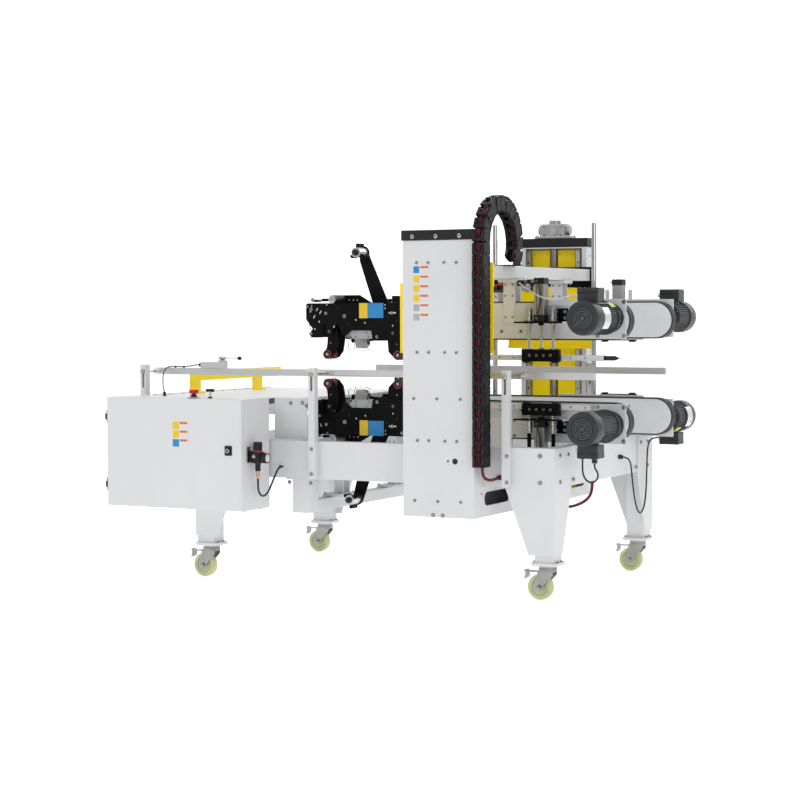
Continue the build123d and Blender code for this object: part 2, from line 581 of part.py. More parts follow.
def presser_cylinder(px, top=1260.0):
    # air cylinder and two guide sleeves on a plate at the conveyor's side
    p = bx(px - 107, px + 105, CYL_Y - 30, -BELT_Y1, PLATE_Z0, PLATE_Z1)
    p = p + bx(px + 40, px + 100, -BELT_Y1 - 6, -BELT_Y1, PLATE_Z0, PLATE_Z1 + 52)
    p = p + bx(px - 21.5, px + 21.5, CYL_Y - 21.5, CYL_Y + 21.5, PLATE_Z1 - 1, top - 10)
    p = p + bx(px - 23, px + 23, CYL_Y - 23, CYL_Y + 23, top - 24, top)
    p = p + bx(px - 23, px + 23, CYL_Y - 23, CYL_Y + 23, PLATE_Z1 - 1, PLATE_Z1 + 27)
    p = p + cz(px, CYL_Y, 11, PLATE_Z0 - 9, PLATE_Z0 + 1)
    for s in (-1, 1):
        p = p + cz(px + s * ROD_DX, CYL_Y, 14, PLATE_Z0, PLATE_Z1 + 50)
        p = p - cz(px + s * ROD_DX, CYL_Y, 8.35, PLATE_Z0 - 5, PLATE_Z1 + 60)
    return p - cz(px, CYL_Y, 6.35, PLATE_Z0 - 14, top - 45)


def presser_block(px, x_bar1, tip, rod=1142.0, piston=1110.0):
    z0, z1 = 927.0, 976.0
    b = bx(px - PR_HALF, px + PR_HALF, CYL_Y - 12, CYL_Y + 14, z0, z1)
    b = b + bx(px - 259, x_bar1, CYL_Y + 14, -BELT_Y1 - 6, z0 + 4, z0 + 26)
    for s in (-1, 1):
        b = b + cz(px + s * ROD_DX, CYL_Y, 8, z1 - 2, rod)
    b = b + cz(px, CYL_Y, 6, z1 - 2, piston)
    if tip:
        b = b + prism_y([(x_bar1 - 1, z0 + 6), (x_bar1 + 44, z0 + 6), (x_bar1 + 64, z0 + 15),
                         (x_bar1 + 44, z0 + 24), (x_bar1 - 1, z0 + 24)], CYL_Y + 16, -BELT_Y1 - 8)
    return b


def side_straps(x0, x1, z0, z1):
    # flat straps on both faces of a conveyor, clear of the belt's edges
    return [bx(x0, x1, -BELT_Y1 - 6, -BELT_Y1, z0, z1), bx(x0, x1, -BELT_Y0, -BELT_Y0 + 6, z0, z1)]


def hanger():
    # carries the upper conveyor under the gantry beams
    out = []
    for x0, x1 in ((GAN_X0, GAN_X1), (GAN_X0 - 300, GAN_X0 - 240)):
        out.append(fuse(bx(x0 - 14, x1 + 14, -BELT_Y1 - 20, -BELT_Y0 + 20, GAN_Z0 - 14, GAN_Z0 - 1),
                        *side_straps(x0 + 4, x1 - 4, AXLE_Z - 10, GAN_Z0 - 10)))
    return fuse(*out)


def pedestal():
    # carries the lower conveyor on the low cross beams (drawn mirrored)
    zb = 2 * MID_Z
    out = []
    for b0, b1, x0, x1, zt in ((470, 566, 474, 562, BEAM_Z0 - 1), (-282, -196, -244, -200, TUBE_Z1)):
        out.append(fuse(bx(b0, b1, -BELT_Y1 - 40, -BELT_Y0 + 40, zb - zt - 13, zb - zt - 1),
                        *side_straps(x0, x1, AXLE_Z - 10, zb - zt - 8)))
    return fuse(*out)


# ------------------------------------------------------------------ tape head
TH_Y0, TH_Y1 = -362.0, -275.0
PIV_F = (-212.0, 1046.0)
ROL_F = (-229.0, 950.0)
PIV_R = (90.0, 1040.0)
ROL_R = (105.0, 948.0)
HUB_U = (-85.0, 1374.0)
HUB_L = (-122.0, 2 * MID_Z - 341.0)
ARM_U = [(27, 1130), (27, 1164), (-62, 1360), (-70, 1382), (-79, 1392), (-98, 1390),
         (-108, 1376), (-108, 1340), (-47, 1164), (-47, 1130)]
ARM_L = [(27, 1130), (27, 1164), (-68, 1363), (-89, 1420), (-101, 1452), (-147, 1454),
         (-141, 1412), (-129, 1366), (-47, 1164), (-47, 1130)]
CHEEK_F = [(-226, 1052), (-220, 1062), (-198, 1062), (-180, 1056), (-178, 1010), (-186, 962),
           (-206, 938), (-226, 930), (-246, 938), (-250, 956), (-232, 976), (-228, 1002)]
CHEEK_R = [(74, 1050), (84, 1056), (100, 1056), (112, 1046), (126, 1008), (136, 960),
           (124, 936), (104, 927), (86, 938), (62, 962), (58, 1004)]


def head_body(hub, arm):
    outer = [(-325, 1096), (-325, 1158), (-318, 1164), (150, 1164), (150, 1012), (50, 1008),
             (-4, 1008), (-14, 1052), (-106, 1052), (-130, 1030), (-150, 1030),
             (-165, 1062), (-174, 1076), (-240, 1076), (-250, 1020), (-300, 1020), (-311, 1036),
             (-293, 1056)]
    inner = [(-325, 1096), (-325, 1164), (-254, 1164), (-254, 1198), (-112, 1198), (-53, 1164),
             (150, 1164), (150, 1012), (50, 1008), (-40, 1007), (-103, 998), (-152, 998),
             (-165, 1062), (-174, 1076), (-240, 1076), (-250, 1020), (-300, 1020), (-311, 1036),
             (-293, 1056)]
    b = prism_y(outer, TH_Y0, TH_Y0 + 5) + prism_y(inner, TH_Y1 - 5, TH_Y1)
    for x, z, r in ((-300, 1140, 7), (-303, 1036, 6), (-60, 1140, 7), (20, 1150, 6),
                    (130, 1150, 6), (14, 1024, 6), (-140, 1110, 9)):
        b = b + cy(x, z, r, TH_Y0 + 4, TH_Y1 - 4)
    # the arms' pivot pins hang in ears of both side plates
    for x, z in (PIV_F, PIV_R):
        ear = [(x - 18, z + 40), (x - 18, z - 8), (x - 8, z - 16), (x + 8, z - 16), (x + 18, z - 8),
               (x + 18, z + 40)]
        b = b + prism_y(ear, TH_Y0, TH_Y0 + 5) + prism_y(ear, TH_Y1 - 5, TH_Y1)
        b = b + cy(x, z, 5, TH_Y0 + 4, TH_Y1 - 4) + cy(x, z, 9, TH_Y0 - 3, TH_Y0 + 1)
    # plain roller on the raised corner and a thin one before it
    b = b + cy(-195, 1179, 17, TH_Y0 - 6, TH_Y1 - 4)
    b = b + bx(-304, -250, TH_Y1 - 5, TH_Y1, 1172, 1184) + cy(-300, 1178, 9, TH_Y0 + 12, TH_Y1 - 4)
    # cut-off housing between the plates and its knife holder
    b = b + prism_y([(-122, 1050), (-122, 1034), (-104, 1016), (-14, 1016), (-14, 1050)],
                    TH_Y0 + 8, TH_Y1 - 4)
    b = b + prism_y([(-106, 1018), (-52, 1018), (-44, 992), (-62, 976), (-100, 982)],
                    TH_Y0 + 24, TH_Y1 - 34)
    # mounting arms to the conveyor's side
    for x in (-200, 10, 110):
        b = b + bx(x, x + 24, TH_Y1 - 1, -BELT_Y1, 1100, 1124)
    # bar to the tape hub and the hub's spindle
    b = b + prism_y(arm, TH_Y1 - 10, TH_Y1 - 4)
    return b + cy(hub[0], hub[1], 6, TH_Y1 - 94, TH_Y1 - 8)


def reel_hub(hub):
    # finned hub that turns on the spindle
    x, z = hub
    h = cy(x, z, 21, TH_Y1 - 86, TH_Y1 - 14)
    for a in (90, 210, 330):
        h = h + Pos(x, TH_Y1 - 48, z) * Rot(0, -a, 0) * Pos(28, 0, 0) * Box(18, 52, 12)
    h = h + cy(x, z, 27, TH_Y1 - 20, TH_Y1 - 14)
    return h - cy(x, z, 6.35, TH_Y1 - 120, TH_Y1)


def swing_arm(piv, rol, cheek):
    # two cheeks, a roller between them and the bore for the pivot pin
    px, pz = piv
    x, z = rol
    a = prism_y(cheek, TH_Y0 + 11, TH_Y0 + 15) + prism_y(cheek, TH_Y1 - 15, TH_Y1 - 11)
    a = a + cy(px, pz, 11, TH_Y0 + 11, TH_Y1 - 11) + cy(x, z, 19, TH_Y0 + 17, TH_Y1 - 17)
    a = a + cy(x, z, 6, TH_Y0 + 9, TH_Y1 - 10)
    return a - cy(px, pz, 5.35, TH_Y0, TH_Y1)


# ------------------------------------------------------------ the four corners
def corner(name, sy, lower):
    """sy -1 is the near side; the lower units are the upper ones mirrored."""
    def fix(s):
        if lower:
            s = mz(s)
        if sy > 0:
            s = my(s)
        return s

    near = sy < 0
    px = 729.0 if near else 820.0
    cf = fuse(conv_frame(), pedestal() if lower else hanger(),
              presser_cylinder(px) if near or not lower else presser_cylinder(px, 1170.0))
    if near and not lower:
        # junction block for the motor's cable, on the hanger
        cf = cf + bx(614, 644, -284, -258, GAN_Z0 - 30, GAN_Z0 - 6)
    put(name + "_conveyor_frame", fix(cf))
    if near:
        pb = presser_block(px, 936 if lower else 990, not lower)
        put(name + "_presser_block", fix(Pos(0, 0, 91 if lower else 0) * pb))
    else:
        pb = presser_block(px, 940, False, 1100.0, 1040.0) if lower else presser_block(px, 940, False)
        put(name + "_conveyor_frame", fix(Pos(0, 0, 75) * pb))
    put(name + "_belt", fix(belt()))
    put(name + "_motor", fix(motor(near and lower) if near else motor(False, FAR_MOTOR_END, FAR_BOX_IN)))
    hub = HUB_L if lower else HUB_U
    body = head_body(hub, ARM_L if lower else ARM_U)
    fa = swing_arm(PIV_F, ROL_F, CHEEK_F)
    ra = swing_arm(PIV_R, ROL_R, CHEEK_R)
    rh = reel_hub(hub)
    put(name + "_tape_head", fix(body))
    if near:
        put(name + "_front_arm", fix(fa))
        put(name + "_rear_arm", fix(ra))
        put(name + "_reel_hub", fix(rh))
    else:
        put(name + "_tape_head", fix(fa), fix(ra), fix(rh))


corner("upper_near", -1, False)
corner("upper_far", 1, False)
corner("lower_near", -1, True)
corner("lower_far", 1, True)


# ================================================================== casters
def fork(x, y):
    head = cz(x, y, 34, 116, FOOT_Z0 - 0.5)
    crown = bx(x - 34, x + 30, y - 23, y + 23, 110, 117)
    w0, w1 = WHEEL_W / 2 + 4, WHEEL_W / 2 + 8
    ax = x - TRAIL
    pts = [(x + 28, 117), (x - 34, 117), (ax - 18, 62), (ax - 16, 42), (ax, 34), (ax + 16, 42),
           (ax + 20, 58), (x + 30, 100)]
    f = fuse(head, crown, prism_y(pts, y - w1, y - w0), prism_y(pts, y + w0, y + w1),
             cy(ax, WHEEL_R, 6, y - w1 - 5, y + w1 + 5))
    # brake pedal on the trailing side
    pedal = fuse(bx(x - 92, x - 30, y - 17, y + 17, 108, 112),
                 prism_y([(x - 96, 116), (x - 90, 116), (x - 84, 108), (x - 84, 90), (x - 92, 80),
                          (x - 97, 82), (x - 91, 92), (x - 90, 106)], y - 17, y + 17))
    return fuse(f, pedal)


def wheel(x, y):
    ax, h = x - TRAIL, WHEEL_W / 2
    w = cy(ax, WHEEL_R, WHEEL_R, y - h, y + h)
    for s in (-1, 1):
        w = w - (cy(ax, WHEEL_R, 34, y + s * (h - 4), y + s * (h + 1))
                 - cy(ax, WHEEL_R, 14, y + s * (h - 5), y + s * (h + 2)))
    w = w + cy(ax, WHEEL_R, 13, y - h - 3, y + h + 3)
    return w - cy(ax, WHEEL_R, 6.35, y - 60, y + 60)


for tag, x, y in (("near_left", CASTER_X[0], -CASTER_Y), ("near_right", CASTER_X[1], -CASTER_Y),
                  ("far_left", CASTER_X[0], CASTER_Y), ("far_right", CASTER_X[1], CASTER_Y)):
    put("caster_%s_fork" % tag, fork(x, y))
    put("caster_%s_wheel" % tag, wheel(x, y))


# =================================================================== cords
def tube(name, pts, r):
    """A round cord along straight runs joined by arcs; prints its radii."""
    v = [Vector(*p) for p in pts]
    radii = []
    for i in range(1, len(v) - 1):
        a, b = v[i] - v[i - 1], v[i + 1] - v[i]
        t = a.get_angle(b)
        radii.append(0.45 * min(a.length, b.length) / math.tan(math.radians(t) / 2))
    path = FilletPolyline(*v, radius=radii)
    w = path if isinstance(path, Wire) else Wire(path.edges())
    d = (v[1] - v[0]).normalized()
    s = sweep(Plane(origin=v[0], z_dir=d) * Circle(r), path=w)
    runs = [(v[i + 1] - v[i]).length for i in range(len(v) - 1)]
    print(name, "length %.0f" % w.length, "least radius %.0f" % min(radii),
          "runs", [round(q) for q in runs], "volume ratio %.3f" % (s.volume / (math.pi * r * r * w.length)))
    put(name, s)


HOSE = [(-366, -687, 449), (-366, -687, 425), (-366, -685, 400), (-364, -673, 379), (-362, -651, 371),
        (-359, -628, 381), (-356, -608, 405), (-353, -590, 433), (-350, -573, 460), (-348, -555, 482),
        (-348, -536, 489)]
FAR_CABLE = [(953.5, 426, 585.5), (932, 426, 585.5), (914, 427, 573), (906, 428, 550), (902, 429, 512),
             (901, 429, 468), (900, 428, 420), (900, 424, 370), (900, 414, 322), (900, 396, 288),
             (900, 370, 268), (900, 342, 268), (900, 316, 286), (900, 290, 326), (902, 266, 376),
             (906, 243, 424), (911, 220, 466), (915, 196, 500), (907, 176, 516), (893, 164, 518)]
LOOP = [(979.5, -476, 554.5), (979.5, -476, 536), (979, -476, 517), (982, -477, 497), (991, -478, 479),
        (1006, -478, 467), (1024, -478, 466), (1039, -478, 476), (1045, -477, 493), (1041, -476, 508),
        (1032, -476, 519), (1029.5, -476, 530), (1029.5, -476, 540.5)]
WHITE = [(953.5, -476, 1192.5), (934, -476, 1192), (912, -474, 1184), (876, -465, 1176), (836, -449, 1174),
         (800, -434, 1179), (768, -415, 1188), (736, -392, 1199), (702, -364, 1213), (668, -338, 1227),
         (642, -316, 1238), (629, -300, 1241), (629, -284, 1241)]
CHAIN = [(601, -584, 521), (601, -584, 496), (610, -582, 474), (632, -577, 467), (651, -560, 474),
         (651, -535, 478)]
BUNDLE = [(856, -75, 428), (856, -75, 402), (850, -80, 376), (832, -90, 354), (802, -101, 338),
          (764, -112, 328), (722, -122, 326), (682, -131, 334), (650, -138, 350), (624, -143, 368),
          (606, -145, 380), (590, -145, 385)]
SWITCH = [(-852, -377, 900), (-876, -377, 900), (-900, -377, 894), (-930, -377, 892.5),
          (-962, -377, 892.5), (-986, -378, 893), (-1003, -385, 892), (-1012, -402, 884),
          (-1009, -424, 864), (-993, -452, 843), (-972, -482, 828), (-950, -514, 817),
          (-926, -547, 808), (-905, -573, 802), (-896, -583, 788)]
tube("regulator_hose", HOSE, 4)
tube("lower_far_motor_cable", FAR_CABLE, 3.5)
tube("lower_near_motor_cable", LOOP, 3.5)
tube("upper_near_motor_cable", WHITE, 3)
tube("chain_cable", CHAIN, 6)
tube("wire_bundle", BUNDLE, 7)
tube("limit_switch_cable", SWITCH, 2.5)


# ------------------------------------------------------------------- output
os.makedirs("parts", exist_ok=True)
lo, hi = [1e9] * 3, [-1e9] * 3
for name, shapes in PARTS.items():
    sol = []
    for s in shapes:
        sol.extend(solids_of(s))
    sol = [s.moved(Location((SHIFT_X, SHIFT_Y, 0))) for s in sol]
    for s in sol:
        b = s.bounding_box()
        lo = [min(a, c) for a, c in zip(lo, (b.min.X, b.min.Y, b.min.Z))]
        hi = [max(a, c) for a, c in zip(hi, (b.max.X, b.max.Y, b.max.Z))]
    shape = sol[0] if len(sol) == 1 else Compound(children=sol)
    export_step(shape, "parts/%s.step" % name)
print(len(PARTS), "nodes", "from", [round(q, 1) for q in lo], "to", [round(q, 1) for q in hi])
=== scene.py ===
import math
import bmesh
import bpy
import numpy as np
from mathutils import Matrix, Vector


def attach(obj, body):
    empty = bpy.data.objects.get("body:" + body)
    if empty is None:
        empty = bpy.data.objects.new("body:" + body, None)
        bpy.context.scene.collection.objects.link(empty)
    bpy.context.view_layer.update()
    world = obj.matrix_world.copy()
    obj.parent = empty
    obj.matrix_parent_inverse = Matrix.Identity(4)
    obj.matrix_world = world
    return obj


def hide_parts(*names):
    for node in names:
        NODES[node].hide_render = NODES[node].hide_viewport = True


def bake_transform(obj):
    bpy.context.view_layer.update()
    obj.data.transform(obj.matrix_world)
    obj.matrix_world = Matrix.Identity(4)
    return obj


# All lengths below are millimetres in the machine's own frame (Y = 0 is the
# middle of the belt line); P() and the mesh kit bring them to the row frame.
SX, SY = -6.0, 76.0
MID_Z = 889.0
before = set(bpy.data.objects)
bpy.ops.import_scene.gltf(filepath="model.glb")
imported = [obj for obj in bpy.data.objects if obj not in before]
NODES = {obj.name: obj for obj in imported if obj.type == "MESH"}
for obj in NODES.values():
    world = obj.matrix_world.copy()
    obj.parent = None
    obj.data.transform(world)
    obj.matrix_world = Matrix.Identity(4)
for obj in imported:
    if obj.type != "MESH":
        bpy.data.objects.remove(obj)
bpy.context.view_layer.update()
scene = bpy.context.scene


def P(x, y, z):
    return ((x + SX) / 1000, (y + SY) / 1000, z / 1000)


# ------------------------------------------------------------------ camera
cam_data = bpy.data.cameras.new("camera")
cam = bpy.data.objects.new("camera", cam_data)
scene.collection.objects.link(cam)
scene.camera = cam
yaw, pitch, roll = math.radians(27.8), math.radians(2.7), math.radians(-0.2)
right = Vector((math.cos(yaw), math.sin(yaw), 0))
fwd = Vector((-math.sin(yaw) * math.cos(pitch), math.cos(yaw) * math.cos(pitch), -math.sin(pitch)))
up = right.cross(fwd)
rot = Matrix((right, up, -fwd)).transposed().to_4x4()
cam.matrix_world = Matrix.Translation((3.9423, -7.5462, 1.1381)) @ rot @ Matrix.Rotation(roll, 4, "Z")
cam_data.sensor_width = 36.0
cam_data.lens = 1995.6 * 36.0 / 800
cam_data.shift_x = 0.0002
cam_data.shift_y = 0.0041
cam_data.clip_end = 60


# --------------------------------------------------------------- materials
def material(name, color, rough=0.5, metal=0.0, vary=0.05, vscale=3.0, rvary=0.08,
             rscale=6.0, bump=0.0, bscale=300.0, stretch=(1, 1, 1), dirt=None, coat=0.0,
             spec=0.5, speck=None, scratches=0.0, bdist=0.0006):
    m = bpy.data.materials.new(name)
    m.use_nodes = True
    t = m.node_tree
    n, l = t.nodes, t.links
    b = n["Principled BSDF"]
    tc = n.new("ShaderNodeTexCoord")
    mp = n.new("ShaderNodeMapping")
    mp.inputs["Scale"].default_value = stretch
    l.new(tc.outputs["Object"], mp.inputs["Vector"])

    def noise(scale, detail=4.0, rough_=0.55, src=mp.outputs["Vector"]):
        q = n.new("ShaderNodeTexNoise")
        q.inputs["Scale"].default_value = scale
        q.inputs["Detail"].default_value = detail
        q.inputs["Roughness"].default_value = rough_
        l.new(src, q.inputs["Vector"])
        return q

    base = (*color, 1)
    dark = (*[c * (1 - vary) for c in color], 1)
    lite = (*[min(1, c * (1 + vary * 0.6)) for c in color], 1)
    ramp = n.new("ShaderNodeValToRGB")
    ramp.color_ramp.elements[0].position = 0.3
    ramp.color_ramp.elements[0].color = dark
    ramp.color_ramp.elements[1].position = 0.72
    ramp.color_ramp.elements[1].color = lite
    l.new(noise(vscale).outputs["Fac"], ramp.inputs["Fac"])
    out = ramp.outputs["Color"]
    if dirt:
        # a thin film of dust and handling marks in cloudy patches
        dcol, amount, dscale = dirt
        mk = n.new("ShaderNodeValToRGB")
        mk.color_ramp.elements[0].position = 0.52
        mk.color_ramp.elements[1].position = 0.78
        mk.color_ramp.elements[1].color = (amount, amount, amount, 1)
        l.new(noise(dscale, 8.0, 0.65).outputs["Fac"], mk.inputs["Fac"])
        mix = n.new("ShaderNodeMix")
        mix.data_type = "RGBA"
        l.new(mk.outputs["Color"], mix.inputs["Factor"])
        l.new(out, mix.inputs[6])
        mix.inputs[7].default_value = (*dcol, 1)
        out = mix.outputs[2]
    if speck:
        scol, amount, sscale = speck
        mk = n.new("ShaderNodeValToRGB")
        mk.color_ramp.elements[0].position = 0.62
        mk.color_ramp.elements[1].position = 0.68
        mk.color_ramp.elements[1].color = (amount, amount, amount, 1)
        l.new(noise(sscale, 2.0).outputs["Fac"], mk.inputs["Fac"])
        mix = n.new("ShaderNodeMix")
        mix.data_type = "RGBA"
        l.new(mk.outputs["Color"], mix.inputs["Factor"])
        l.new(out, mix.inputs[6])
        mix.inputs[7].default_value = (*scol, 1)
        out = mix.outputs[2]
    l.new(out, b.inputs["Base Color"])
    rr = n.new("ShaderNodeMapRange")
    rr.inputs["To Min"].default_value = max(0.03, rough - rvary)
    rr.inputs["To Max"].default_value = min(1.0, rough + rvary)
    l.new(noise(rscale, 6.0).outputs["Fac"], rr.inputs["Value"])
    l.new(rr.outputs["Result"], b.inputs["Roughness"])
    b.inputs["Metallic"].default_value = metal
    b.inputs["Specular IOR Level"].default_value = spec
    if coat:
        b.inputs["Coat Weight"].default_value = coat
        b.inputs["Coat Roughness"].default_value = 0.12
    if bump:
        bp = n.new("ShaderNodeBump")
        bp.inputs["Strength"].default_value = bump
        bp.inputs["Distance"].default_value = bdist
        l.new(noise(bscale, 3.0).outputs["Fac"], bp.inputs["Height"])
        l.new(bp.outputs["Normal"], b.inputs["Normal"])
    return m


M = {}
M["white"] = material("white_powder_coat", (0.735, 0.74, 0.755), 0.38, vary=0.035, vscale=2.2, bump=0.16,
                      bscale=420, dirt=((0.55, 0.54, 0.52), 0.10, 7), bdist=0.0004)
# a darker copy of the white powder coat for the control box's inner faces: painted shade, with heavier cloudy dust
# patches
M["white_in"] = material("white_inside_painted_shade", (0.70, 0.71, 0.73), 0.45, vary=0.06, vscale=4, bump=0.16, bscale=420,
                         dirt=((0.4, 0.39, 0.37), 0.2, 9), bdist=0.0004)
M["plate"] = material("conveyor_side", (0.72, 0.73, 0.745), 0.34, vary=0.05, vscale=4, bump=0.14, bscale=380,
                      dirt=((0.4, 0.4, 0.4), 0.15, 9), bdist=0.0004)
M["yellow"] = material("yellow_powder_coat", (0.97, 0.735, 0.004), 0.40, vary=0.05, vscale=4, bump=0.16,
                       bscale=420, dirt=((0.6, 0.42, 0.03), 0.12, 10), bdist=0.0004)
# the yellow also glows faintly: its emission is painted light that brightens faces in shade; the softer specular keeps
# it saturated
_y = M["yellow"].node_tree.nodes["Principled BSDF"]
_y.inputs["Emission Color"].default_value = (1.0, 0.74, 0.0, 1)
_y.inputs["Emission Strength"].default_value = 0.09
_y.inputs["Specular IOR Level"].default_value = 0.3
M["black"] = material("black_oxide", (0.0045, 0.0048, 0.0055), 0.48, metal=0.0, vary=0.35, vscale=9, rvary=0.12,
                      rscale=20, bump=0.12, bscale=500, dirt=((0.016, 0.016, 0.016), 0.2, 14), spec=0.09)
M["grille"] = material("grille_rings", (0.075, 0.080, 0.088), 0.42, metal=0.2, vary=0.15, vscale=14, bump=0.2, bscale=520)
M["patch_o"] = material("orange_patch", (0.72, 0.16, 0.05), 0.4, vary=0.06, vscale=12, bump=0.06, bscale=300)
M["chain"] = material("chain_plastic", (0.011, 0.0105, 0.012), 0.46, vary=0.2, vscale=12, bump=0.15, spec=0.22,
                      bscale=600, dirt=((0.05, 0.05, 0.05), 0.25, 16), bdist=0.0004)
M["padred"] = material("red_brown_pad", (0.20, 0.035, 0.022), 0.55, vary=0.2, vscale=20, bump=0.25, bscale=300)
M["housing"] = material("light_grey_housing", (0.42, 0.43, 0.44), 0.42, vary=0.08, vscale=20, bump=0.1, bscale=300)
M["patch_g"] = material("yellow_green_patch", (0.55, 0.62, 0.02), 0.4, vary=0.06, vscale=12, bump=0.06, bscale=300)
M["patch_r"] = material("red_patch", (0.62, 0.04, 0.03), 0.4, vary=0.06, vscale=12, bump=0.06, bscale=300)
M["blackplastic"] = material("black_plastic", (0.012, 0.012, 0.0135), 0.5, vary=0.2, vscale=12, bump=0.22,
                             bscale=650, dirt=((0.05, 0.05, 0.05), 0.3, 16), bdist=0.0004, spec=0.32)
M["gloss"] = material("black_gloss", (0.012, 0.012, 0.014), 0.18, vary=0.2, vscale=12, rvary=0.06, bump=0.04,
                      bscale=300, dirt=((0.08, 0.08, 0.08), 0.15, 16))
M["motor"] = material("motor_grey", (0.030, 0.033, 0.038), 0.42, metal=0.2, vary=0.22, vscale=14, bump=0.4,
                      bscale=520, dirt=((0.11, 0.11, 0.11), 0.22, 18))
# near-black for sockets, holes, grooves and recesses: painted shade standing in for their dark insides
M["recess_shade"] = material("painted_recess_shade", (0.012, 0.012, 0.013), 0.65, vary=0.3, vscale=14, bump=0.3, bscale=520)
M["rubber"] = material("belt_rubber", (0.020, 0.020, 0.022), 0.62, vary=0.3, vscale=5, stretch=(0.5, 2, 1), bump=0.6,
                       bscale=420, dirt=((0.14, 0.13, 0.12), 0.35, 12))
M["roller_rubber"] = material("roller_rubber", (0.025, 0.024, 0.024), 0.55, vary=0.3, vscale=20, bump=0.3, bscale=300)
M["red"] = material("red_rubber", (0.42, 0.022, 0.02), 0.45, vary=0.2, vscale=20, bump=0.2, bscale=300)
M["redplastic"] = material("red_plastic", (0.62, 0.014, 0.018), 0.24, vary=0.08, vscale=20, bump=0.05, bscale=200)
M["steel"] = material("drawn_steel", (0.60, 0.61, 0.62), 0.27, metal=1.0, vary=0.10, vscale=14, rvary=0.10,
                      rscale=40, stretch=(1, 1, 1), bump=0.12, bscale=240)
M["railsteel"] = material("satin_rail", (0.70, 0.705, 0.71), 0.40, metal=0.55, vary=0.10, vscale=10,
                          stretch=(0.06, 1, 1), rvary=0.08, rscale=60, bump=0.12, bscale=260)
M["chrome"] = material("ground_rod", (0.66, 0.67, 0.68), 0.12, metal=1.0, vary=0.06, vscale=20, rvary=0.05,
                       rscale=60, bump=0.04, bscale=600)
M["alu"] = material("cast_alloy", (0.46, 0.465, 0.47), 0.42, metal=0.9, vary=0.12, vscale=18, bump=0.35, bscale=420,
                    dirt=((0.2, 0.2, 0.2), 0.25, 20))
M["zinc"] = material("zinc_plate", (0.40, 0.40, 0.385), 0.30, metal=1.0, vary=0.16, vscale=30, rvary=0.14, rscale=40,
                     bump=0.12, bscale=400, dirt=((0.34, 0.31, 0.24), 0.3, 26))
M["forkzinc"] = material("caster_plate", (0.40, 0.40, 0.385), 0.38, metal=0.75, vary=0.16, vscale=20, rvary=0.12,
                         rscale=30, bump=0.14, bscale=360, dirt=((0.26, 0.24, 0.19), 0.35, 22))
M["zincyellow"] = material("yellow_passivate", (0.56, 0.50, 0.34), 0.30, metal=1.0, vary=0.2, vscale=40, rvary=0.1,
                           bump=0.1, bscale=400)
M["nylon"] = material("wheel_tread", (0.54, 0.58, 0.29), 0.40, vary=0.08, vscale=14, bump=0.2, bscale=200,
                      dirt=((0.30, 0.28, 0.18), 0.45, 22))
M["hub"] = material("wheel_hub", (0.50, 0.53, 0.34), 0.42, vary=0.08, vscale=14, bump=0.15, bscale=200,
                    dirt=((0.26, 0.25, 0.18), 0.4, 22))
M["roller_grey"] = material("table_roller", (0.50, 0.51, 0.525), 0.33, metal=0.55, vary=0.10, vscale=20, bump=0.1,
                            bscale=300, stretch=(1, 0.2, 1))
M["gauge"] = material("gauge_face", (0.82, 0.82, 0.80), 0.3, vary=0.03, vscale=60, bump=0.02, bscale=300)
M["bowl"] = material("bowl", (0.50, 0.53, 0.55), 0.16, vary=0.10, vscale=30, bump=0.05, bscale=200)
M["patch"] = material("plain_patch", (0.78, 0.77, 0.72), 0.45, vary=0.04, vscale=12, bump=0.06, bscale=300)
M["patch_y"] = material("yellow_patch", (0.85, 0.60, 0.02), 0.4, vary=0.06, vscale=12, bump=0.06, bscale=300)
M["patch_b"] = material("blue_patch", (0.02, 0.26, 0.62), 0.4, vary=0.10, vscale=12, bump=0.06, bscale=300)
M["burgundy"] = material("burgundy_jacket", (0.16, 0.010, 0.022), 0.42, vary=0.15, vscale=30, bump=0.1, bscale=400)
M["cable"] = material("black_jacket", (0.016, 0.016, 0.017), 0.5, vary=0.25, vscale=30, bump=0.15, bscale=500,
                      dirt=((0.09, 0.09, 0.09), 0.3, 30))
M["cablewhite"] = material("white_jacket", (0.66, 0.66, 0.66), 0.45, vary=0.06, vscale=30, bump=0.1, bscale=500)
M["brass"] = material("brass", (0.62, 0.44, 0.16), 0.28, metal=1.0, vary=0.1, vscale=30, bump=0.05, bscale=300)
M["bluetube"] = material("air_tube_blue", (0.03, 0.12, 0.42), 0.35, vary=0.1, vscale=30, bump=0.05, bscale=300)
M["screw"] = material("screw_thread", (0.40, 0.40, 0.40), 0.34, metal=1.0, vary=0.2, vscale=30, bump=0.2, bscale=300)
M["brush"] = material("brush_hair", (0.02, 0.018, 0.016), 0.7, vary=0.5, vscale=60, stretch=(1, 1, 0.1), bump=1.0,
                      bscale=500)


# ------------------------------------------------------------------- cords
def cord_curve(name, pts, r, mat):
    c = bpy.data.curves.new(name, "CURVE")
    c.dimensions = "3D"
    c.resolution_u = 10
    c.bevel_depth = r / 1000
    c.bevel_resolution = 6
    s = c.splines.new("NURBS")
    s.points.add(len(pts) - 1)
    for q, p in zip(s.points, pts):
        q.co = (*P(*p), 1.0)
    s.order_u = 3
    s.use_endpoint_u = True
    c.materials.append(mat)
    o = bpy.data.objects.new(name, c)
    scene.collection.objects.link(o)
    return o


def cord_line(name, pts):
    """Points along the route's own spline, for a piece that follows it."""
    o = cord_curve(name + ".line", pts, 0.0, M["cable"])
    m = bpy.data.meshes.new_from_object(o)
    line = [v.co.copy() for v in m.vertices]
    bpy.data.objects.remove(o)
    bpy.data.meshes.remove(m)
    return line


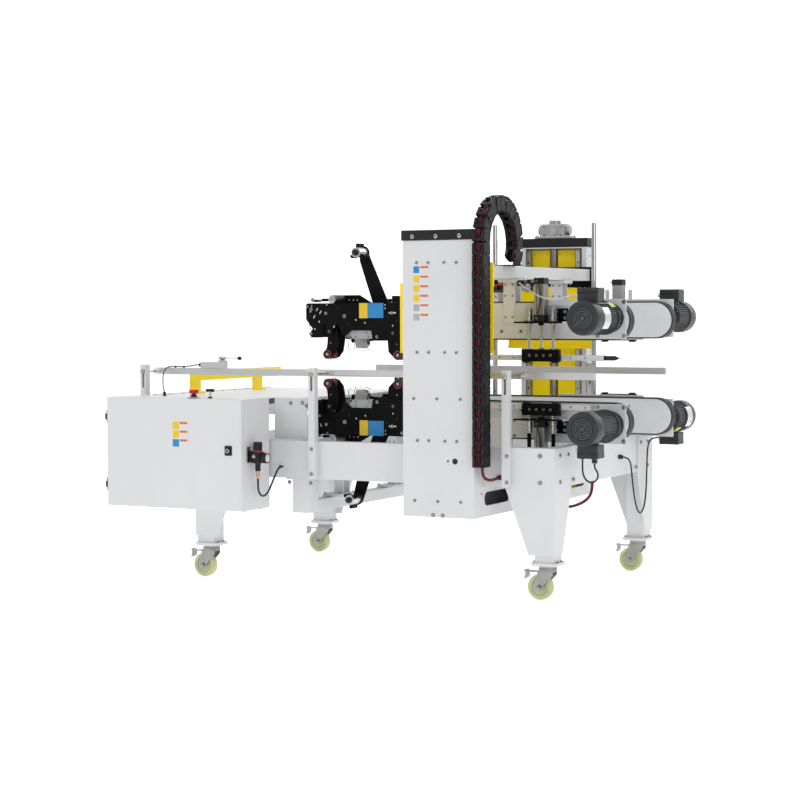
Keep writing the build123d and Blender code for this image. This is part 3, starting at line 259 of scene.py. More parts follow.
def sweep(line, r, seg=12, offset=(0, 0), twist=0.0):
    """Vertices and faces of a tube round a line; offset moves it off the line."""
    verts, faces = [], []
    d0 = (line[1] - line[0]).normalized()
    side = d0.orthogonal().normalized()
    n = len(line)
    for i in range(n):
        a = line[max(0, i - 1)]
        b = line[min(n - 1, i + 1)]
        d = (b - a).normalized()
        side = (side - d * side.dot(d)).normalized()
        w = d.cross(side)
        ang = twist * i
        ox = math.cos(ang) * offset[0] - math.sin(ang) * offset[1]
        oy = math.sin(ang) * offset[0] + math.cos(ang) * offset[1]
        c = line[i] + side * ox + w * oy
        for k in range(seg):
            t = 2 * math.pi * k / seg
            verts.append(c + (side * math.cos(t) + w * math.sin(t)) * r)
    for i in range(n - 1):
        for k in range(seg):
            k2 = (k + 1) % seg
            faces.append((i * seg + k, i * seg + k2, (i + 1) * seg + k2, (i + 1) * seg + k))
    faces.append(tuple(reversed(range(seg))))
    faces.append(tuple((n - 1) * seg + k for k in range(seg)))
    return verts, faces


def raw_mesh(name, verts, faces, mat):
    me = bpy.data.meshes.new(name)
    me.from_pydata([tuple(v) for v in verts], [], faces)
    me.materials.append(mat)
    for p in me.polygons:
        p.use_smooth = True
    me.set_sharp_from_angle(angle=math.radians(40))
    o = bpy.data.objects.new(name, me)
    scene.collection.objects.link(o)
    return o


HOSE = [(-366, -687, 449), (-366, -687, 425), (-366, -685, 400), (-364, -673, 379), (-362, -651, 371),
        (-359, -628, 381), (-356, -608, 405), (-353, -590, 433), (-350, -573, 460), (-348, -555, 482),
        (-348, -536, 489)]
LFM = [(953.5, 426, 585.5), (932, 426, 585.5), (914, 427, 573), (906, 428, 550), (902, 429, 512),
             (901, 429, 468), (900, 428, 420), (900, 424, 370), (900, 414, 322), (900, 396, 288),
             (900, 370, 268), (900, 342, 268), (900, 316, 286), (900, 290, 326), (902, 266, 376),
             (906, 243, 424), (911, 220, 466), (915, 196, 500), (907, 176, 516), (893, 164, 518)]
LNM = [(979.5, -476, 554.5), (979.5, -476, 536), (979, -476, 517), (982, -477, 497), (991, -478, 479),
       (1006, -478, 467), (1024, -478, 466), (1039, -478, 476), (1045, -477, 493), (1041, -476, 508),
       (1032, -476, 519), (1029.5, -476, 530), (1029.5, -476, 540.5)]
UNM = [(953.5, -476, 1192.5), (934, -476, 1192), (912, -474, 1184), (876, -465, 1176), (836, -449, 1174),
         (800, -434, 1179), (768, -415, 1188), (736, -392, 1199), (702, -364, 1213), (668, -338, 1227),
         (642, -316, 1238), (629, -300, 1241), (629, -284, 1241)]
CHC = [(601, -584, 521), (601, -584, 496), (610, -582, 474), (632, -577, 467), (651, -560, 474), (651, -535, 478)]
WBU = [(856, -75, 428), (856, -75, 402), (850, -80, 376), (832, -90, 354), (802, -101, 338), (764, -112, 328),
       (722, -122, 326), (682, -131, 334), (650, -138, 350), (624, -143, 368), (606, -145, 380), (590, -145, 385)]
LSC = [(-852, -377, 900), (-876, -377, 900), (-900, -377, 894), (-930, -377, 892.5),
          (-962, -377, 892.5), (-986, -378, 893), (-1003, -385, 892), (-1012, -402, 884),
          (-1009, -424, 864), (-993, -452, 843), (-972, -482, 828), (-950, -514, 817),
          (-926, -547, 808), (-905, -573, 802), (-896, -583, 788)]

for name, pts, r, mat, body, length, lay, stiff in (
        ("regulator_hose", HOSE, 4.0, "cable", "root", 0.265, "loose", "stiff"),
        ("lower_near_motor_cable", LNM, 3.5, "cable", "lower_near", 0.200, "loose", "stiff"),
        ("upper_near_motor_cable", UNM, 3.0, "cablewhite", "upper_near", 0.405, "hanging", "medium"),
        ("chain_cable", CHC, 6.0, "burgundy", "root", 0.120, "loose", "stiff")):
    o = cord_curve(name + ".looks", pts, r, M[mat])
    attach(o, body)
    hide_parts(name)

for name, pts, r, mat, a, b, s, e, length, lay in (
        ("lower_far_motor_cable", LFM, 3.5, "cable", "root", "lower_far", P(900, 300, 300), P(953, 426, 585),
         0.715, "hanging"),
        ("limit_switch_cable", LSC, 2.5, "cable", "root", "near_rail", P(-920, -552, 806), P(-1000, -380, 893),
         0.415, "loose")):
    line = cord_line(name, pts)
    v, f = sweep(line, r / 1000, 12)
    o = raw_mesh(name + ".looks", v, f, M[mat])
    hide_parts(name)
    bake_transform(o)

# the bundle under the right end: three jackets laid together round one line
line = cord_line("wire_bundle", WBU)
vv, ff = [], []
groups = []
for k, mt in enumerate(("burgundy", "cable", "burgundy")):
    a = 2 * math.pi * k / 3
    v, f = sweep(line, 0.0033, 10, offset=(0.0036 * math.cos(a), 0.0036 * math.sin(a)), twist=0.035)
    base = len(vv)
    vv += v
    ff += [tuple(i + base for i in q) for q in f]
    groups += [k] * len(f)
o = raw_mesh("wire_bundle.looks", vv, ff, M["burgundy"])
o.data.materials.append(M["cable"])
for p, k in zip(o.data.polygons, groups):
    p.material_index = 1 if k == 1 else 0
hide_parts("wire_bundle")
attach(o, "root")


# --------------------------------------------------------------- mesh kit
class Kit:
    """Collects shapes in millimetres and makes one piece of them."""

    def __init__(self):
        self.v, self.f, self.m = [], [], []
        self.mats = []

    def mat(self, key):
        if key not in self.mats:
            self.mats.append(key)
        return self.mats.index(key)

    def add(self, verts, faces, key):
        b = len(self.v)
        self.v += [tuple(p) for p in verts]
        self.f += [tuple(i + b for i in q) for q in faces]
        self.m += [self.mat(key)] * len(faces)

    def extend(self, other, fn=lambda p: p, flip=False):
        b = len(self.v)
        self.v += [tuple(fn(p)) for p in other.v]
        for q, k in zip(other.f, other.m):
            q = tuple(i + b for i in q)
            self.f.append(tuple(reversed(q)) if flip else q)
            self.m.append(self.mat(other.mats[k]))

    def box(self, x0, x1, y0, y1, z0, z1, key, c=0.7):
        """A box with chamfered edges."""
        lo = [min(x0, x1), min(y0, y1), min(z0, z1)]
        hi = [max(x0, x1), max(y0, y1), max(z0, z1)]
        c = min(c, 0.24 * min(h - l for l, h in zip(lo, hi)))
        verts, idx = [], {}
        for sx in (0, 1):
            for sy in (0, 1):
                for sz in (0, 1):
                    s = (sx, sy, sz)
                    for ax in range(3):
                        p = []
                        for k in range(3):
                            e = (lo, hi)[s[k]][k]
                            if k != ax:
                                e += c if s[k] == 0 else -c
                            p.append(e)
                        idx[(s, ax)] = len(verts)
                        verts.append(p)
        faces = []
        for ax in range(3):
            u, w = (ax + 1) % 3, (ax + 2) % 3
            for side in (0, 1):
                q = []
                for a, b_ in ((0, 0), (1, 0), (1, 1), (0, 1)):
                    s = [0, 0, 0]
                    s[ax], s[u], s[w] = side, a, b_
                    q.append(idx[(tuple(s), ax)])
                faces.append(tuple(q) if side else tuple(reversed(q)))
        for ax in range(3):
            u, w = (ax + 1) % 3, (ax + 2) % 3
            for a in (0, 1):
                for b_ in (0, 1):
                    s0, s1 = [0, 0, 0], [0, 0, 0]
                    s0[ax], s1[ax] = 0, 1
                    s0[u] = s1[u] = a
                    s0[w] = s1[w] = b_
                    q = (idx[(tuple(s0), u)], idx[(tuple(s1), u)], idx[(tuple(s1), w)], idx[(tuple(s0), w)])
                    faces.append(q if (a == b_) != (ax < 0) else tuple(reversed(q)))
        for sx in (0, 1):
            for sy in (0, 1):
                for sz in (0, 1):
                    s = (sx, sy, sz)
                    q = (idx[(s, 0)], idx[(s, 1)], idx[(s, 2)])
                    faces.append(q if (sx + sy + sz) % 2 else tuple(reversed(q)))
        self.add(verts, faces, key)

    def lathe(self, ax, u, v, prof, key, seg=28, sgn=1, phase=0.0):
        """A turned shape: prof is (place along ax, radius); closed ends where the radius is 0."""
        verts, faces = [], []
        n = len(prof)
        for a, r in prof:
            for k in range(seg):
                t = 2 * math.pi * (k + phase) / seg
                verts.append(self._at(ax, a, u + r * math.cos(t), v + r * math.sin(t)))
        for i in range(n - 1):
            for k in range(seg):
                k2 = (k + 1) % seg
                q = (i * seg + k, i * seg + k2, (i + 1) * seg + k2, (i + 1) * seg + k)
                faces.append(q)
        faces.append(tuple(reversed(range(seg))))
        faces.append(tuple((n - 1) * seg + k for k in range(seg)))
        if prof[-1][0] < prof[0][0]:
            faces = [tuple(reversed(q)) for q in faces]
        if ax == "y":
            faces = [tuple(reversed(q)) for q in faces]
        self.add(verts, faces, key)

    def _at(self, ax, a, u, v):
        # u, v are the other two coordinates in X, Y, Z order
        return (a, u, v) if ax == "x" else ((u, a, v) if ax == "y" else (u, v, a))

    def cyl(self, ax, u, v, r, a, b, key, seg=28, c=0.6, phase=0.0):
        c = min(c, r * 0.4, abs(b - a) * 0.3)
        s = 1 if b > a else -1
        self.lathe(ax, u, v, [(a, r - c), (a + s * c, r), (b - s * c, r), (b, r - c)], key, seg, phase=phase)

    def ring(self, ax, u, v, r0, r1, a, b, key, seg=32, c=0.5):
        """A washer or collar from r0 to r1."""
        s = 1 if b > a else -1
        c = min(c, (r1 - r0) * 0.3, abs(b - a) * 0.3)
        prof = [(a, r0), (a, r1 - c), (a + s * c, r1), (b - s * c, r1), (b, r1 - c), (b, r0)]
        verts, faces = [], []
        n = len(prof)
        for q, r in prof:
            for k in range(seg):
                t = 2 * math.pi * k / seg
                verts.append(self._at(ax, q, u + r * math.cos(t), v + r * math.sin(t)))
        for i in range(n):
            j = (i + 1) % n
            for k in range(seg):
                k2 = (k + 1) % seg
                faces.append((i * seg + k, i * seg + k2, j * seg + k2, j * seg + k))
        if (b < a) != (ax == "y"):
            faces = [tuple(reversed(q)) for q in faces]
        self.add(verts, faces, key)

    def prism(self, ax, pts, a, b, key, c=0.0):
        """An outline in the other two coordinates, drawn out along ax."""
        area = sum(p[0] * q[1] - q[0] * p[1] for p, q in zip(pts, pts[1:] + pts[:1]))
        if area < 0:
            pts = list(reversed(pts))
        a, b = min(a, b), max(a, b)
        n = len(pts)

        def inset(d):
            out = []
            for i in range(n):
                p0, p1, p2 = pts[i - 1], pts[i], pts[(i + 1) % n]
                e0 = (p1[0] - p0[0], p1[1] - p0[1])
                e1 = (p2[0] - p1[0], p2[1] - p1[1])
                l0, l1 = math.hypot(*e0) or 1, math.hypot(*e1) or 1
                n0, n1 = (-e0[1] / l0, e0[0] / l0), (-e1[1] / l1, e1[0] / l1)
                k = 1 + n0[0] * n1[0] + n0[1] * n1[1]
                k = max(k, 0.35)
                out.append((p1[0] + d * (n0[0] + n1[0]) / k, p1[1] + d * (n0[1] + n1[1]) / k))
            return out

        layers = [(a, pts), (b, pts)] if c <= 0 else [(a, inset(c)), (a + c, pts), (b - c, pts), (b, inset(c))]
        verts, faces = [], []
        for z, ring_ in layers:
            for u, v in ring_:
                verts.append(self._at(ax, z, u, v))
        m = len(layers)
        for i in range(m - 1):
            for k in range(n):
                k2 = (k + 1) % n
                faces.append((i * n + k, i * n + k2, (i + 1) * n + k2, (i + 1) * n + k))
        faces.append(tuple(reversed(range(n))))
        faces.append(tuple((m - 1) * n + k for k in range(n)))
        if ax == "y":
            faces = [tuple(reversed(q)) for q in faces]
        self.add(verts, faces, key)

    def tube(self, pts, r, key, seg=10, smooth=0):
        """A fixed rod or bent wire through points."""
        line = [Vector(p) for p in pts]
        for _ in range(smooth):
            new = [line[0]]
            for a, b in zip(line, line[1:]):
                new += [a.lerp(b, 0.25), a.lerp(b, 0.75)]
            line = new + [line[-1]]
        v, f = sweep(line, r, seg)
        self.add(v, [tuple(reversed(q)) for q in f] if False else f, key)

    def bolt(self, ax, sgn, u, v, at, r=5.0, h=4.0, kind="hex", key="zinc", washer=True):
        """A bolt head that stands on a face; sgn is the side it stands out to."""
        a = at
        if washer:
            self.ring(ax, u, v, 0.8, r * 1.5, a, a + sgn * 1.2, key, 20, 0.3)
            a += sgn * 1.2
        if kind == "hex":
            self.lathe(ax, u, v, [(a, r), (a + sgn * h * 0.85, r), (a + sgn * h, r * 0.86)], key, 6)
            self.cyl(ax, u, v, r * 0.5, a + sgn * h, a + sgn * (h + 0.6), key, 12, 0.2)
        elif kind == "dome":
            self.lathe(ax, u, v, [(a, r), (a + sgn * h * 0.35, r * 0.98), (a + sgn * h * 0.75, r * 0.78),
                                  (a + sgn * h, r * 0.42)], key, 20)
            # the small near-black disc on the dome's top is painted shade of a recess
            self.lathe(ax, u, v, [(a + sgn * h, r * 0.4), (a + sgn * (h + 0.05), r * 0.38)], "recess_shade", 6)
        else:
            self.lathe(ax, u, v, [(a, r * 0.96), (a + sgn * 0.4, r), (a + sgn * (h - 0.5), r), (a + sgn * h, r * 0.9),
                                  (a + sgn * h, r * 0.55), (a + sgn * (h - 0.9), r * 0.5)], key, 20)
            # the near-black disc in the socket is painted shade of its hex recess
            self.lathe(ax, u, v, [(a + sgn * (h - 0.9), r * 0.5), (a + sgn * (h - 0.8), r * 0.48)], "recess_shade", 6)

    def make(self, name, body=None, slot=None, replaces=(), blend=None):
        me = bpy.data.meshes.new(name)
        me.from_pydata([P(*p) for p in self.v], [], self.f)
        for k in self.mats:
            me.materials.append(M[k])
        me.polygons.foreach_set("material_index", self.m)
        me.polygons.foreach_set("use_smooth", [True] * len(self.f))
        me.validate()
        bm = bmesh.new()
        bm.from_mesh(me)
        bmesh.ops.recalc_face_normals(bm, faces=bm.faces)
        bm.to_mesh(me)
        bm.free()
        me.set_sharp_from_angle(angle=math.radians(38))
        o = bpy.data.objects.new(name, me)
        scene.collection.objects.link(o)
        if replaces:
            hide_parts(*replaces)
        if blend:
            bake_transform(o)
        else:
            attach(o, body)
        return o


def fix(lower, far):
    """The map from the upper near unit to another corner, and whether it flips faces."""
    def fn(p):
        x, y, z = p
        return (x, -y if far else y, 2 * MID_Z - z if lower else z)
    return fn, bool(lower) != bool(far)


# ------------------------------------------------------------ the CAD nodes
def paint(node, key, rules=(), bevel=0.9, seg=2, dissolve=True):
    """Finishes a CAD node: materials by place, and small rounded edges."""
    o = NODES[node]
    me = o.data
    me.materials.clear()
    keys = [key] + [r[0] for r in rules]
    for k in keys:
        me.materials.append(M[k])
    nv, nf = len(me.vertices), len(me.polygons)
    co = np.empty(nv * 3, np.float64)
    me.vertices.foreach_get("co", co)
    co = co.reshape(-1, 3) * 1000
    co[:, 0] -= SX
    co[:, 1] -= SY
    index = np.zeros(nf, np.int32)
    starts = np.array([p.loop_start for p in me.polygons])
    loops = np.empty(len(me.loops), np.int32)
    me.loops.foreach_get("vertex_index", loops)
    for k, (mk, pred) in enumerate(rules):
        inside = pred(co)
        tri = inside[loops[starts]] & inside[loops[starts + 1]] & inside[loops[starts + 2]]
        index[tri] = k + 1
    me.polygons.foreach_set("material_index", index)
    me.polygons.foreach_set("use_smooth", [True] * nf)
    for a in ("custom_normal", "sharp_edge", "sharp_face"):
        if a in me.attributes:
            me.attributes.remove(me.attributes[a])
    w = o.modifiers.new("weld", "WELD")
    w.merge_threshold = 0.00002
    if dissolve:
        d = o.modifiers.new("flat", "DECIMATE")
        d.decimate_type = "DISSOLVE"
        d.angle_limit = math.radians(0.6)
        d.delimit = {"MATERIAL"}
    b = o.modifiers.new("edges", "BEVEL")
    b.width = bevel / 1000
    b.segments = seg
    b.limit_method = "ANGLE"
    b.angle_limit = math.radians(32)
    b.use_clamp_overlap = False
    b.harden_normals = True
    n = o.modifiers.new("normals", "WEIGHTED_NORMAL")
    n.keep_sharp = True
    return o


def inbox(x0, x1, y0, y1, z0, z1, e=0.4):
    return lambda c: ((c[:, 0] > x0 - e) & (c[:, 0] < x1 + e) & (c[:, 1] > y0 - e) & (c[:, 1] < y1 + e)
                      & (c[:, 2] > z0 - e) & (c[:, 2] < z1 + e))


def incyl(ax, u, v, r, a, b, e=0.4):
    k = "xyz".index(ax)
    i, j = [q for q in range(3) if q != k]
    return lambda c: ((np.hypot(c[:, i] - u, c[:, j] - v) < r + e) & (c[:, k] > min(a, b) - e)
                      & (c[:, k] < max(a, b) + e))


def either(*preds):
    def f(c):
        out = preds[0](c)
        for q in preds[1:]:
            out = out | q(c)
        return out
    return f


def absy(pred):
    def f(c):
        d = c.copy()
        d[:, 1] = -np.abs(d[:, 1])
        return pred(d)
    return f


def unit(pred, lower, far):
    """A test written for the upper near unit, for any corner."""
    def f(c):
        d = c.copy()
        if far:
            d[:, 1] = -d[:, 1]
        if lower:
            d[:, 2] = 2 * MID_Z - d[:, 2]
        return pred(d)
    return f

paint("main_frame", "white", [("blackplastic", either(incyl("y", 651, 478, 13, -536, -500), inbox(640, 662, -536, -505, 466, 492))),
                              ("blackplastic", inbox(-360, -336, -536.5, -512, 478, 505)),
                              ("blackplastic", inbox(868, 905, 140, 176, 505, 530)),
                              ("blackplastic", incyl("z", 856, -75, 12, 428, 446))], 1.2)
paint("frame_legs", "white", [("white", inbox(0, 1, 0, 1, 0, 1))], 1.2)
paint("bottom_cross_beams", "white", [("blackplastic", inbox(573, 592, -160, -130, 370, 400))], 1.4)
paint("tower_housings", "white", [], 1.6)
paint("tower_caps", "blackplastic", [], 3.0, 3)
paint("tower_guard_strips", "yellow", [], 0.8)
paint("tower_rails", "railsteel", [("screw", absy(incyl("z", 403, -582, 14.2, 300, 1420))),
                                   ("chrome", either(incyl("z", 190, 416, 11.2, 590, 1509),
                                                     incyl("z", 661, 416, 11.2, 590, 1509))),
                                   ("white", either(inbox(176, 204, 390, 490, 560, 607),
                                                    inbox(647, 675, 390, 490, 560, 607)))], 0.8)
paint("lift_gearbox", "alu", [("steel", incyl("x", 572, 1485, 21.2, 338, 351))], 1.5, 3)
paint("infeed_table", "white", [("roller_grey", incyl("y", -1024, 748, 26.3, -480, 480)),
                                ("steel", incyl("y", -1024, 748, 7.3, -480, 480))], 1.2)
paint("yellow_gate", "yellow", [], 1.2)
paint("control_box", "white", [
    ("zinc", inbox(-1030, -437, -564, -559, 350, 740)),
    ("blackplastic", inbox(-1088, -1066, -760, -700, 370, 730)),
    ("housing", incyl("z", -652, -724, 23.3, 773.3, 778.4)),
    ("blackplastic", incyl("z", -652, -724, 13.3, 777, 788)),
    ("housing", incyl("z", -584, -705, 5.3, 779, 800)),
    ("blackplastic", inbox(-604, -564, -713, -697, 798, 814)),
    ("blackplastic", incyl("z", -584, -705, 9.3, 773.3, 779.4)),
    ("gloss", inbox(-910, -882, -598, -565, 773.3, 792)),
    ("white_in", inbox(-1062.5, -404.5, -738, -545.5, 319.5, 768.5))], 1.0)
paint("control_box_door", "white", [
    ("blackplastic", inbox(-1088, -1050, -762, -735, 380, 720)),
    ("blackplastic", inbox(-478.4, -444.6, -769, -760.2, 542, 584)),
    ("white_in", inbox(-1064.5, -402, -757.8, -738, 318, 770))], 1.4, 3)
paint("emergency_stop_button", "redplastic", [("blackplastic", incyl("z", -652, -724, 8.3, 779, 793.2))], 2.6, 3)
rx, ry = -400.0, -687.0
paint("air_regulator", "blackplastic", [
    ("zinc", inbox(rx, rx + 4.3, ry - 35, ry + 27, 511, 579)),
    ("bowl", incyl("z", rx + 34, ry, 11.3, 478, 511.5)),
    ("brass", incyl("z", rx + 34, ry, 7.3, 449, 478.2)),
    ("steel", incyl("x", ry, 532, 7.3, rx + 54.5, rx + 60)),
    ("redplastic", incyl("z", rx + 34, ry, 20.3, 556.3, 562))], 1.2)
paint("guide_posts", "white", [], 1.2)
for n, s in (("guide_rail_near", -1), ("guide_rail_far", 1)):
    rods = [incyl("y", x, 872.5, 9.8, s * 384.8, s * 590)
            for x in ((-1056, -186, 690) if s < 0 else (-186, 596))]
    paint(n, "railsteel", [("zincyellow", either(*rods)),
                           ("alu", inbox(-838.5, -715, -399, -359, 887.5, 935)),
                           ("steel", inbox(-732, -640, -399, -393, 926, 934)),
                           ("blackplastic", incyl("y", -634, 931, 8.3, -405, -391)),
                           ("blackplastic", either(inbox(-935, -925, -385, -379, 886.5, 895),
                                                   inbox(-979, -969, -385, -379, 886.5, 895),
                                                   incyl("x", -377, 900, 8.3, -853, -838)))], 1.2)
paint("gantry_beams", "white", [("black", inbox(572, 640, -403, -281, 1309.4, 1345))], 1.4)
# the black on the far carriage's inner face behind the presser is painted shade
paint("lift_carriages", "yellow", [("white", absy(inbox(236, 622, -525, -511, 1236.5, 1321))),
                                   ("zinc", absy(inbox(290, 515, -563, -524.6, 1175, 1305))),
                                   ("black", inbox(236, 622, 505, 570, 1170, 1330))], 1.0)
for lower in (0, 1):
    for far in (0, 1):
        q = ("lower" if lower else "upper") + ("_far" if far else "_near")

        def u(p):
            return unit(p, lower, far)

        px = 820.0 if far else 729.0
        top = 1170.0 if far and lower else 1260.0
        paint(q + "_conveyor_frame", "plate", [
            ("steel", u(either(incyl("y", -172.5, 1089.5, 9.4, -275, -200), incyl("y", 1015.5, 1089.5, 9.4, -275, -200)))),
            ("alu", u(either(incyl("y", -172.5, 1089.5, 73, -259, -221), incyl("y", 1015.5, 1089.5, 73, -259, -221)))),
            ("black", u(inbox(px - 108, px + 106, -335, -264.5, 1079.6, 1087.4))),
            ("black", u(inbox(px + 39, px + 101, -270.5, -264, 1087, 1140))),
            ("steel", u(either(incyl("z", px - 52.5, -304, 14.4, 1087.4, 1137),
                               incyl("z", px + 52.5, -304, 14.4, 1087.4, 1137)))),
            ("alu", u(inbox(px - 21.6, px + 21.6, -326, -282, 1087.4, top - 19))),
            ("blackplastic", u(inbox(px - 23.2, px + 23.2, -327.4, -280.6, top - 26, top))),
            ("blackplastic", u(inbox(px - 23.2, px + 23.2, -327.4, -280.6, 1085.6, 1114.4))),
            ("chrome", u(either(incyl("z", px - 52.5, -304, 8.4, 1040, 1080),
                                incyl("z", px + 52.5, -304, 8.4, 1040, 1080),
                                incyl("z", px, -304, 6.4, 1040, 1072)))),
            ("black", u(incyl("z", px, -304, 11.4, 1071, 1081))),
            ("black", u(inbox(px - 81, px + 81, -319, -289, 1001, 1052))),
            ("white", u(inbox(px - 260, 1100, -291, -269, 1004, 1030))),
            ("blackplastic", u(inbox(613, 645, -285, -257, 1228, 1254)))], 0.9)
        paint(q + "_belt", "rubber", [], 0.8)
        x, z = 1015.5, 1089.5
        yb, ye = (-426.0, -541.0) if far else (-476.0, -567.0)
        paint(q + "_motor", "motor", [
            ("plate", u(inbox(x - 67, x + 63, -273, -263, z - 73, 1177))),
            ("steel", u(incyl("x", yb, z + 103, 9.4, x - 63, x - 45.3))),
            ("steel", u(either(incyl("z", x - 36, yb, 7.4, z + 126.5, z + 135),
                               incyl("z", x + 14, yb, 11.4, z + 126.5, z + 149)))),
            # the end face under the cowl's grille is painted near-black as shade of the recess
            ("recess_shade", u(incyl("y", x, z + 11.5, 61, ye - 0.4, ye + 0.4)))], 1.6, 3)
        hub = (-122.0, 2 * MID_Z - 341.0) if lower else (-85.0, 1374.0)
        rules = [
            ("roller_rubber", u(incyl("y", -195, 1179, 17.4, -369, -279))),
            ("steel", u(incyl("y", -300, 1178, 9.4, -352, -278))),
            ("steel", u(either(*[incyl("y", xx, zz, rr, -357.4, -279.6) for xx, zz, rr in
                                 ((-300, 1140, 7.3), (-303, 1036, 6.3), (-60, 1140, 7.3), (20, 1150, 6.3),
                                  (130, 1150, 6.3), (14, 1024, 6.3), (-140, 1110, 9.3))]))),
            ("housing", u(inbox(-123, -13, -354.5, -278.5, 1015, 1051))),
            ("zinc", u(inbox(-107, -43, -339, -308, 975, 1019))),
            ("steel", u(incyl("y", hub[0], hub[1], 6.4, -370, -286))),
            ("gloss", u(either(incyl("y", -212, 1046, 9.4, -366, -361), incyl("y", 90, 1040, 9.4, -366, -361)))),
            ("white", u(inbox(-201, 135, -275.6, -264, 1099, 1125)))]
        if far:
            rules += [("padred", u(incyl("y", -229, 950, 19.4, -346, -291))),
                      ("roller_rubber", u(incyl("y", 105, 948, 19.4, -346, -291))),
                      ("alu", u(incyl("y", hub[0], hub[1], 28, -362, -288)))]
        paint(q + "_tape_head", "black", rules, 0.8)
        if not far:
            paint(q + "_front_arm", "black", [("padred", u(incyl("y", -229, 950, 19.4, -346, -291))),
                                              ("steel", u(incyl("y", -229, 950, 6.4, -360, -280)))], 0.8)
            paint(q + "_rear_arm", "black", [("padred", u(incyl("y", 105, 948, 19.4, -346, -291))),
                                             ("steel", u(incyl("y", 105, 948, 6.4, -360, -280)))], 0.8)
            paint(q + "_reel_hub", "black", [("steel", u(incyl("y", hub[0], hub[1], 21.4, -362, -288)))], 1.2)
            paint(q + "_presser_block", "black", [
                ("chrome", u(either(incyl("z", px - 52.5, -304, 8.3, 976.4 + 91 * lower, 1450),
                                    incyl("z", px + 52.5, -304, 8.3, 976.4 + 91 * lower, 1450),
                                    incyl("z", px, -304, 6.3, 976.4 + 91 * lower, 1300)))),
                ("white", u(inbox(px - 280, 991, -291, -269, 930 + 91 * lower, 954 + 91 * lower))),
                ("brush", u(inbox(989.5, 1060, -289, -271, 930, 953)))], 1.0)
for side in ("near", "far"):
    for end in ("left", "right"):
        tag = "caster_%s_%s" % (side, end)
        cxp = -726.0 if end == "left" else 838.0
        cyp = -486.0 if side == "near" else 486.0
        paint(tag + "_fork", "forkzinc", [], 1.2)
        paint(tag + "_wheel", "nylon", [("zinc", incyl("y", cxp - 30, 50, 13.3, cyp - 19, cyp + 19)),
                                        ("hub", incyl("y", cxp - 30, 50, 34.3, cyp - 14.7, cyp + 14.7))], 2.2, 3)


# ------------------------------------------------------------ towers
TB = [(328, 1320), (379, 1320), (449, 1320), (502, 1319), (329, 967), (380, 967), (451, 967), (502, 967),
      (314, 784), (416, 784), (519, 784), (330, 618), (380, 618), (451, 618), (503, 618),
      (317, 379), (419, 379), (520, 379)]
k = Kit()
for s in (-1, 1):
    for x, z in TB:
        k.bolt("y", s, x, z, s * 610, 7.2, 3.4, "dome", "zinc", False)
    # the two near-black discs on each side stand in for holes, their darkness painted shade, beside a small zinc disc
    for x, r, key in ((464, 4.5, "recess_shade"), (495, 12.0, "recess_shade"), (528, 2.5, "zinc")):
        k.lathe("y", x, 540, [(s * 610, r), (s * 610.35, r - 0.2)], key, 28)
    for x in (398, 440):
        k.bolt("y", s, x, 324, s * 610, 6.0, 4.5, "hex", "zinc", True)
    for z in (380, 700, 1020, 1340):
        k.bolt("x", -1, s * 570, z, 265, 5.2, 3.0, "dome", "zinc", False)
        if s > 0 or z not in (1240,):
            k.bolt("x", 1, s * 545 if s < 0 else 570, z + 30, 578, 5.2, 2.6, "dome", "zinc", False)
k.make("tower_bolts", "root", "zinc")

k = Kit()
for s in (-1, 1):
    for x in (311, 415, 518):
        k.bolt("y", s, x, 1424, s * 616, 8.8, 3.6, "dome", "zincyellow", False)
    # raised rib round the cap and its lower shadow line
    k.box(263, 580, s * 528 if s > 0 else -533, s * 533 if s > 0 else -528, 1412, 1447, "blackplastic", 1.0)
k.make("tower_cap_bolts", "root", "black_plastic")

k = Kit()
k.box(309, 386, -610.5, -610.0, 1088, 1316, "patch", 0.15)
for i, key in enumerate(("patch_b", "patch_y", "patch_y", "patch_y", "housing", "housing")):
    z1 = 1312 - 37.5 * i
    k.box(313, 382, -610.7, -610.45, z1 - 34, z1 - 2, "white", 0.1)
    k.box(314, 340, -610.9, -610.6, z1 - 32, z1 - 5, key, 0.15)
    k.box(344, 380, -610.9, -610.6, z1 - 13, z1 - 5, "patch_o", 0.1)
k.make("tower_plain_patches", "root", "white_paint")

# inside of each tower: screw bearings, nut collars, strip screws, rail screws
k = Kit()
for s in (-1, 1):
    def y(a, b):
        return (min(s * a, s * b), max(s * a, s * b))
    for z0 in (321,):
        a, b = y(546, 604)
        k.box(372, 434, a, b, z0, z0 + 30, "black", 1.5)
        k.ring("z", 403, s * 582, 15, 22, z0 - 1.0 if z0 > 900 else z0 + 30, z0 - 5 if z0 > 900 else z0 + 35, "steel", 28)
        for dx in (-24, 24):
            k.bolt("y", -s, 403 + dx, z0 + 15, s * 546, 4, 4, "socket", "zinc", True)
    for x in (284, 523):
        z = 350
        while z < 1390:
            # each rail screw's zinc hexagon sits on a near-black disc, painted shade of the recess round it
            k.lathe("y", x, z, [(s * 566, 4.6), (s * 565.4, 4.2)], "recess_shade", 14)
            k.lathe("y", x, z, [(s * 565.6, 3.2), (s * 565.0, 2.8)], "zinc", 6)
            z += 62
    for x in (309, 373, 433, 496):
        for z in (345, 600, 860, 1120, 1380):
            k.bolt("y", -s, x, z, s * 578, 3.4, 2.0, "dome", "zinc", False)
    # screw's own thread as close rings
    z = 356.0
    while z < 1366:
        k.lathe("z", 403, s * 582, [(z - 1.6, 13.9), (z, 15.0), (z + 1.6, 13.9)], "screw", 20)
        z += 7.0
k.make("tower_inside_fittings", "root", "bright_steel")

# ------------------------------------------------------------ cable chain
LINK = 45.0
CHX0, CHX1 = 583.0, 635.0
CHH = 31.0


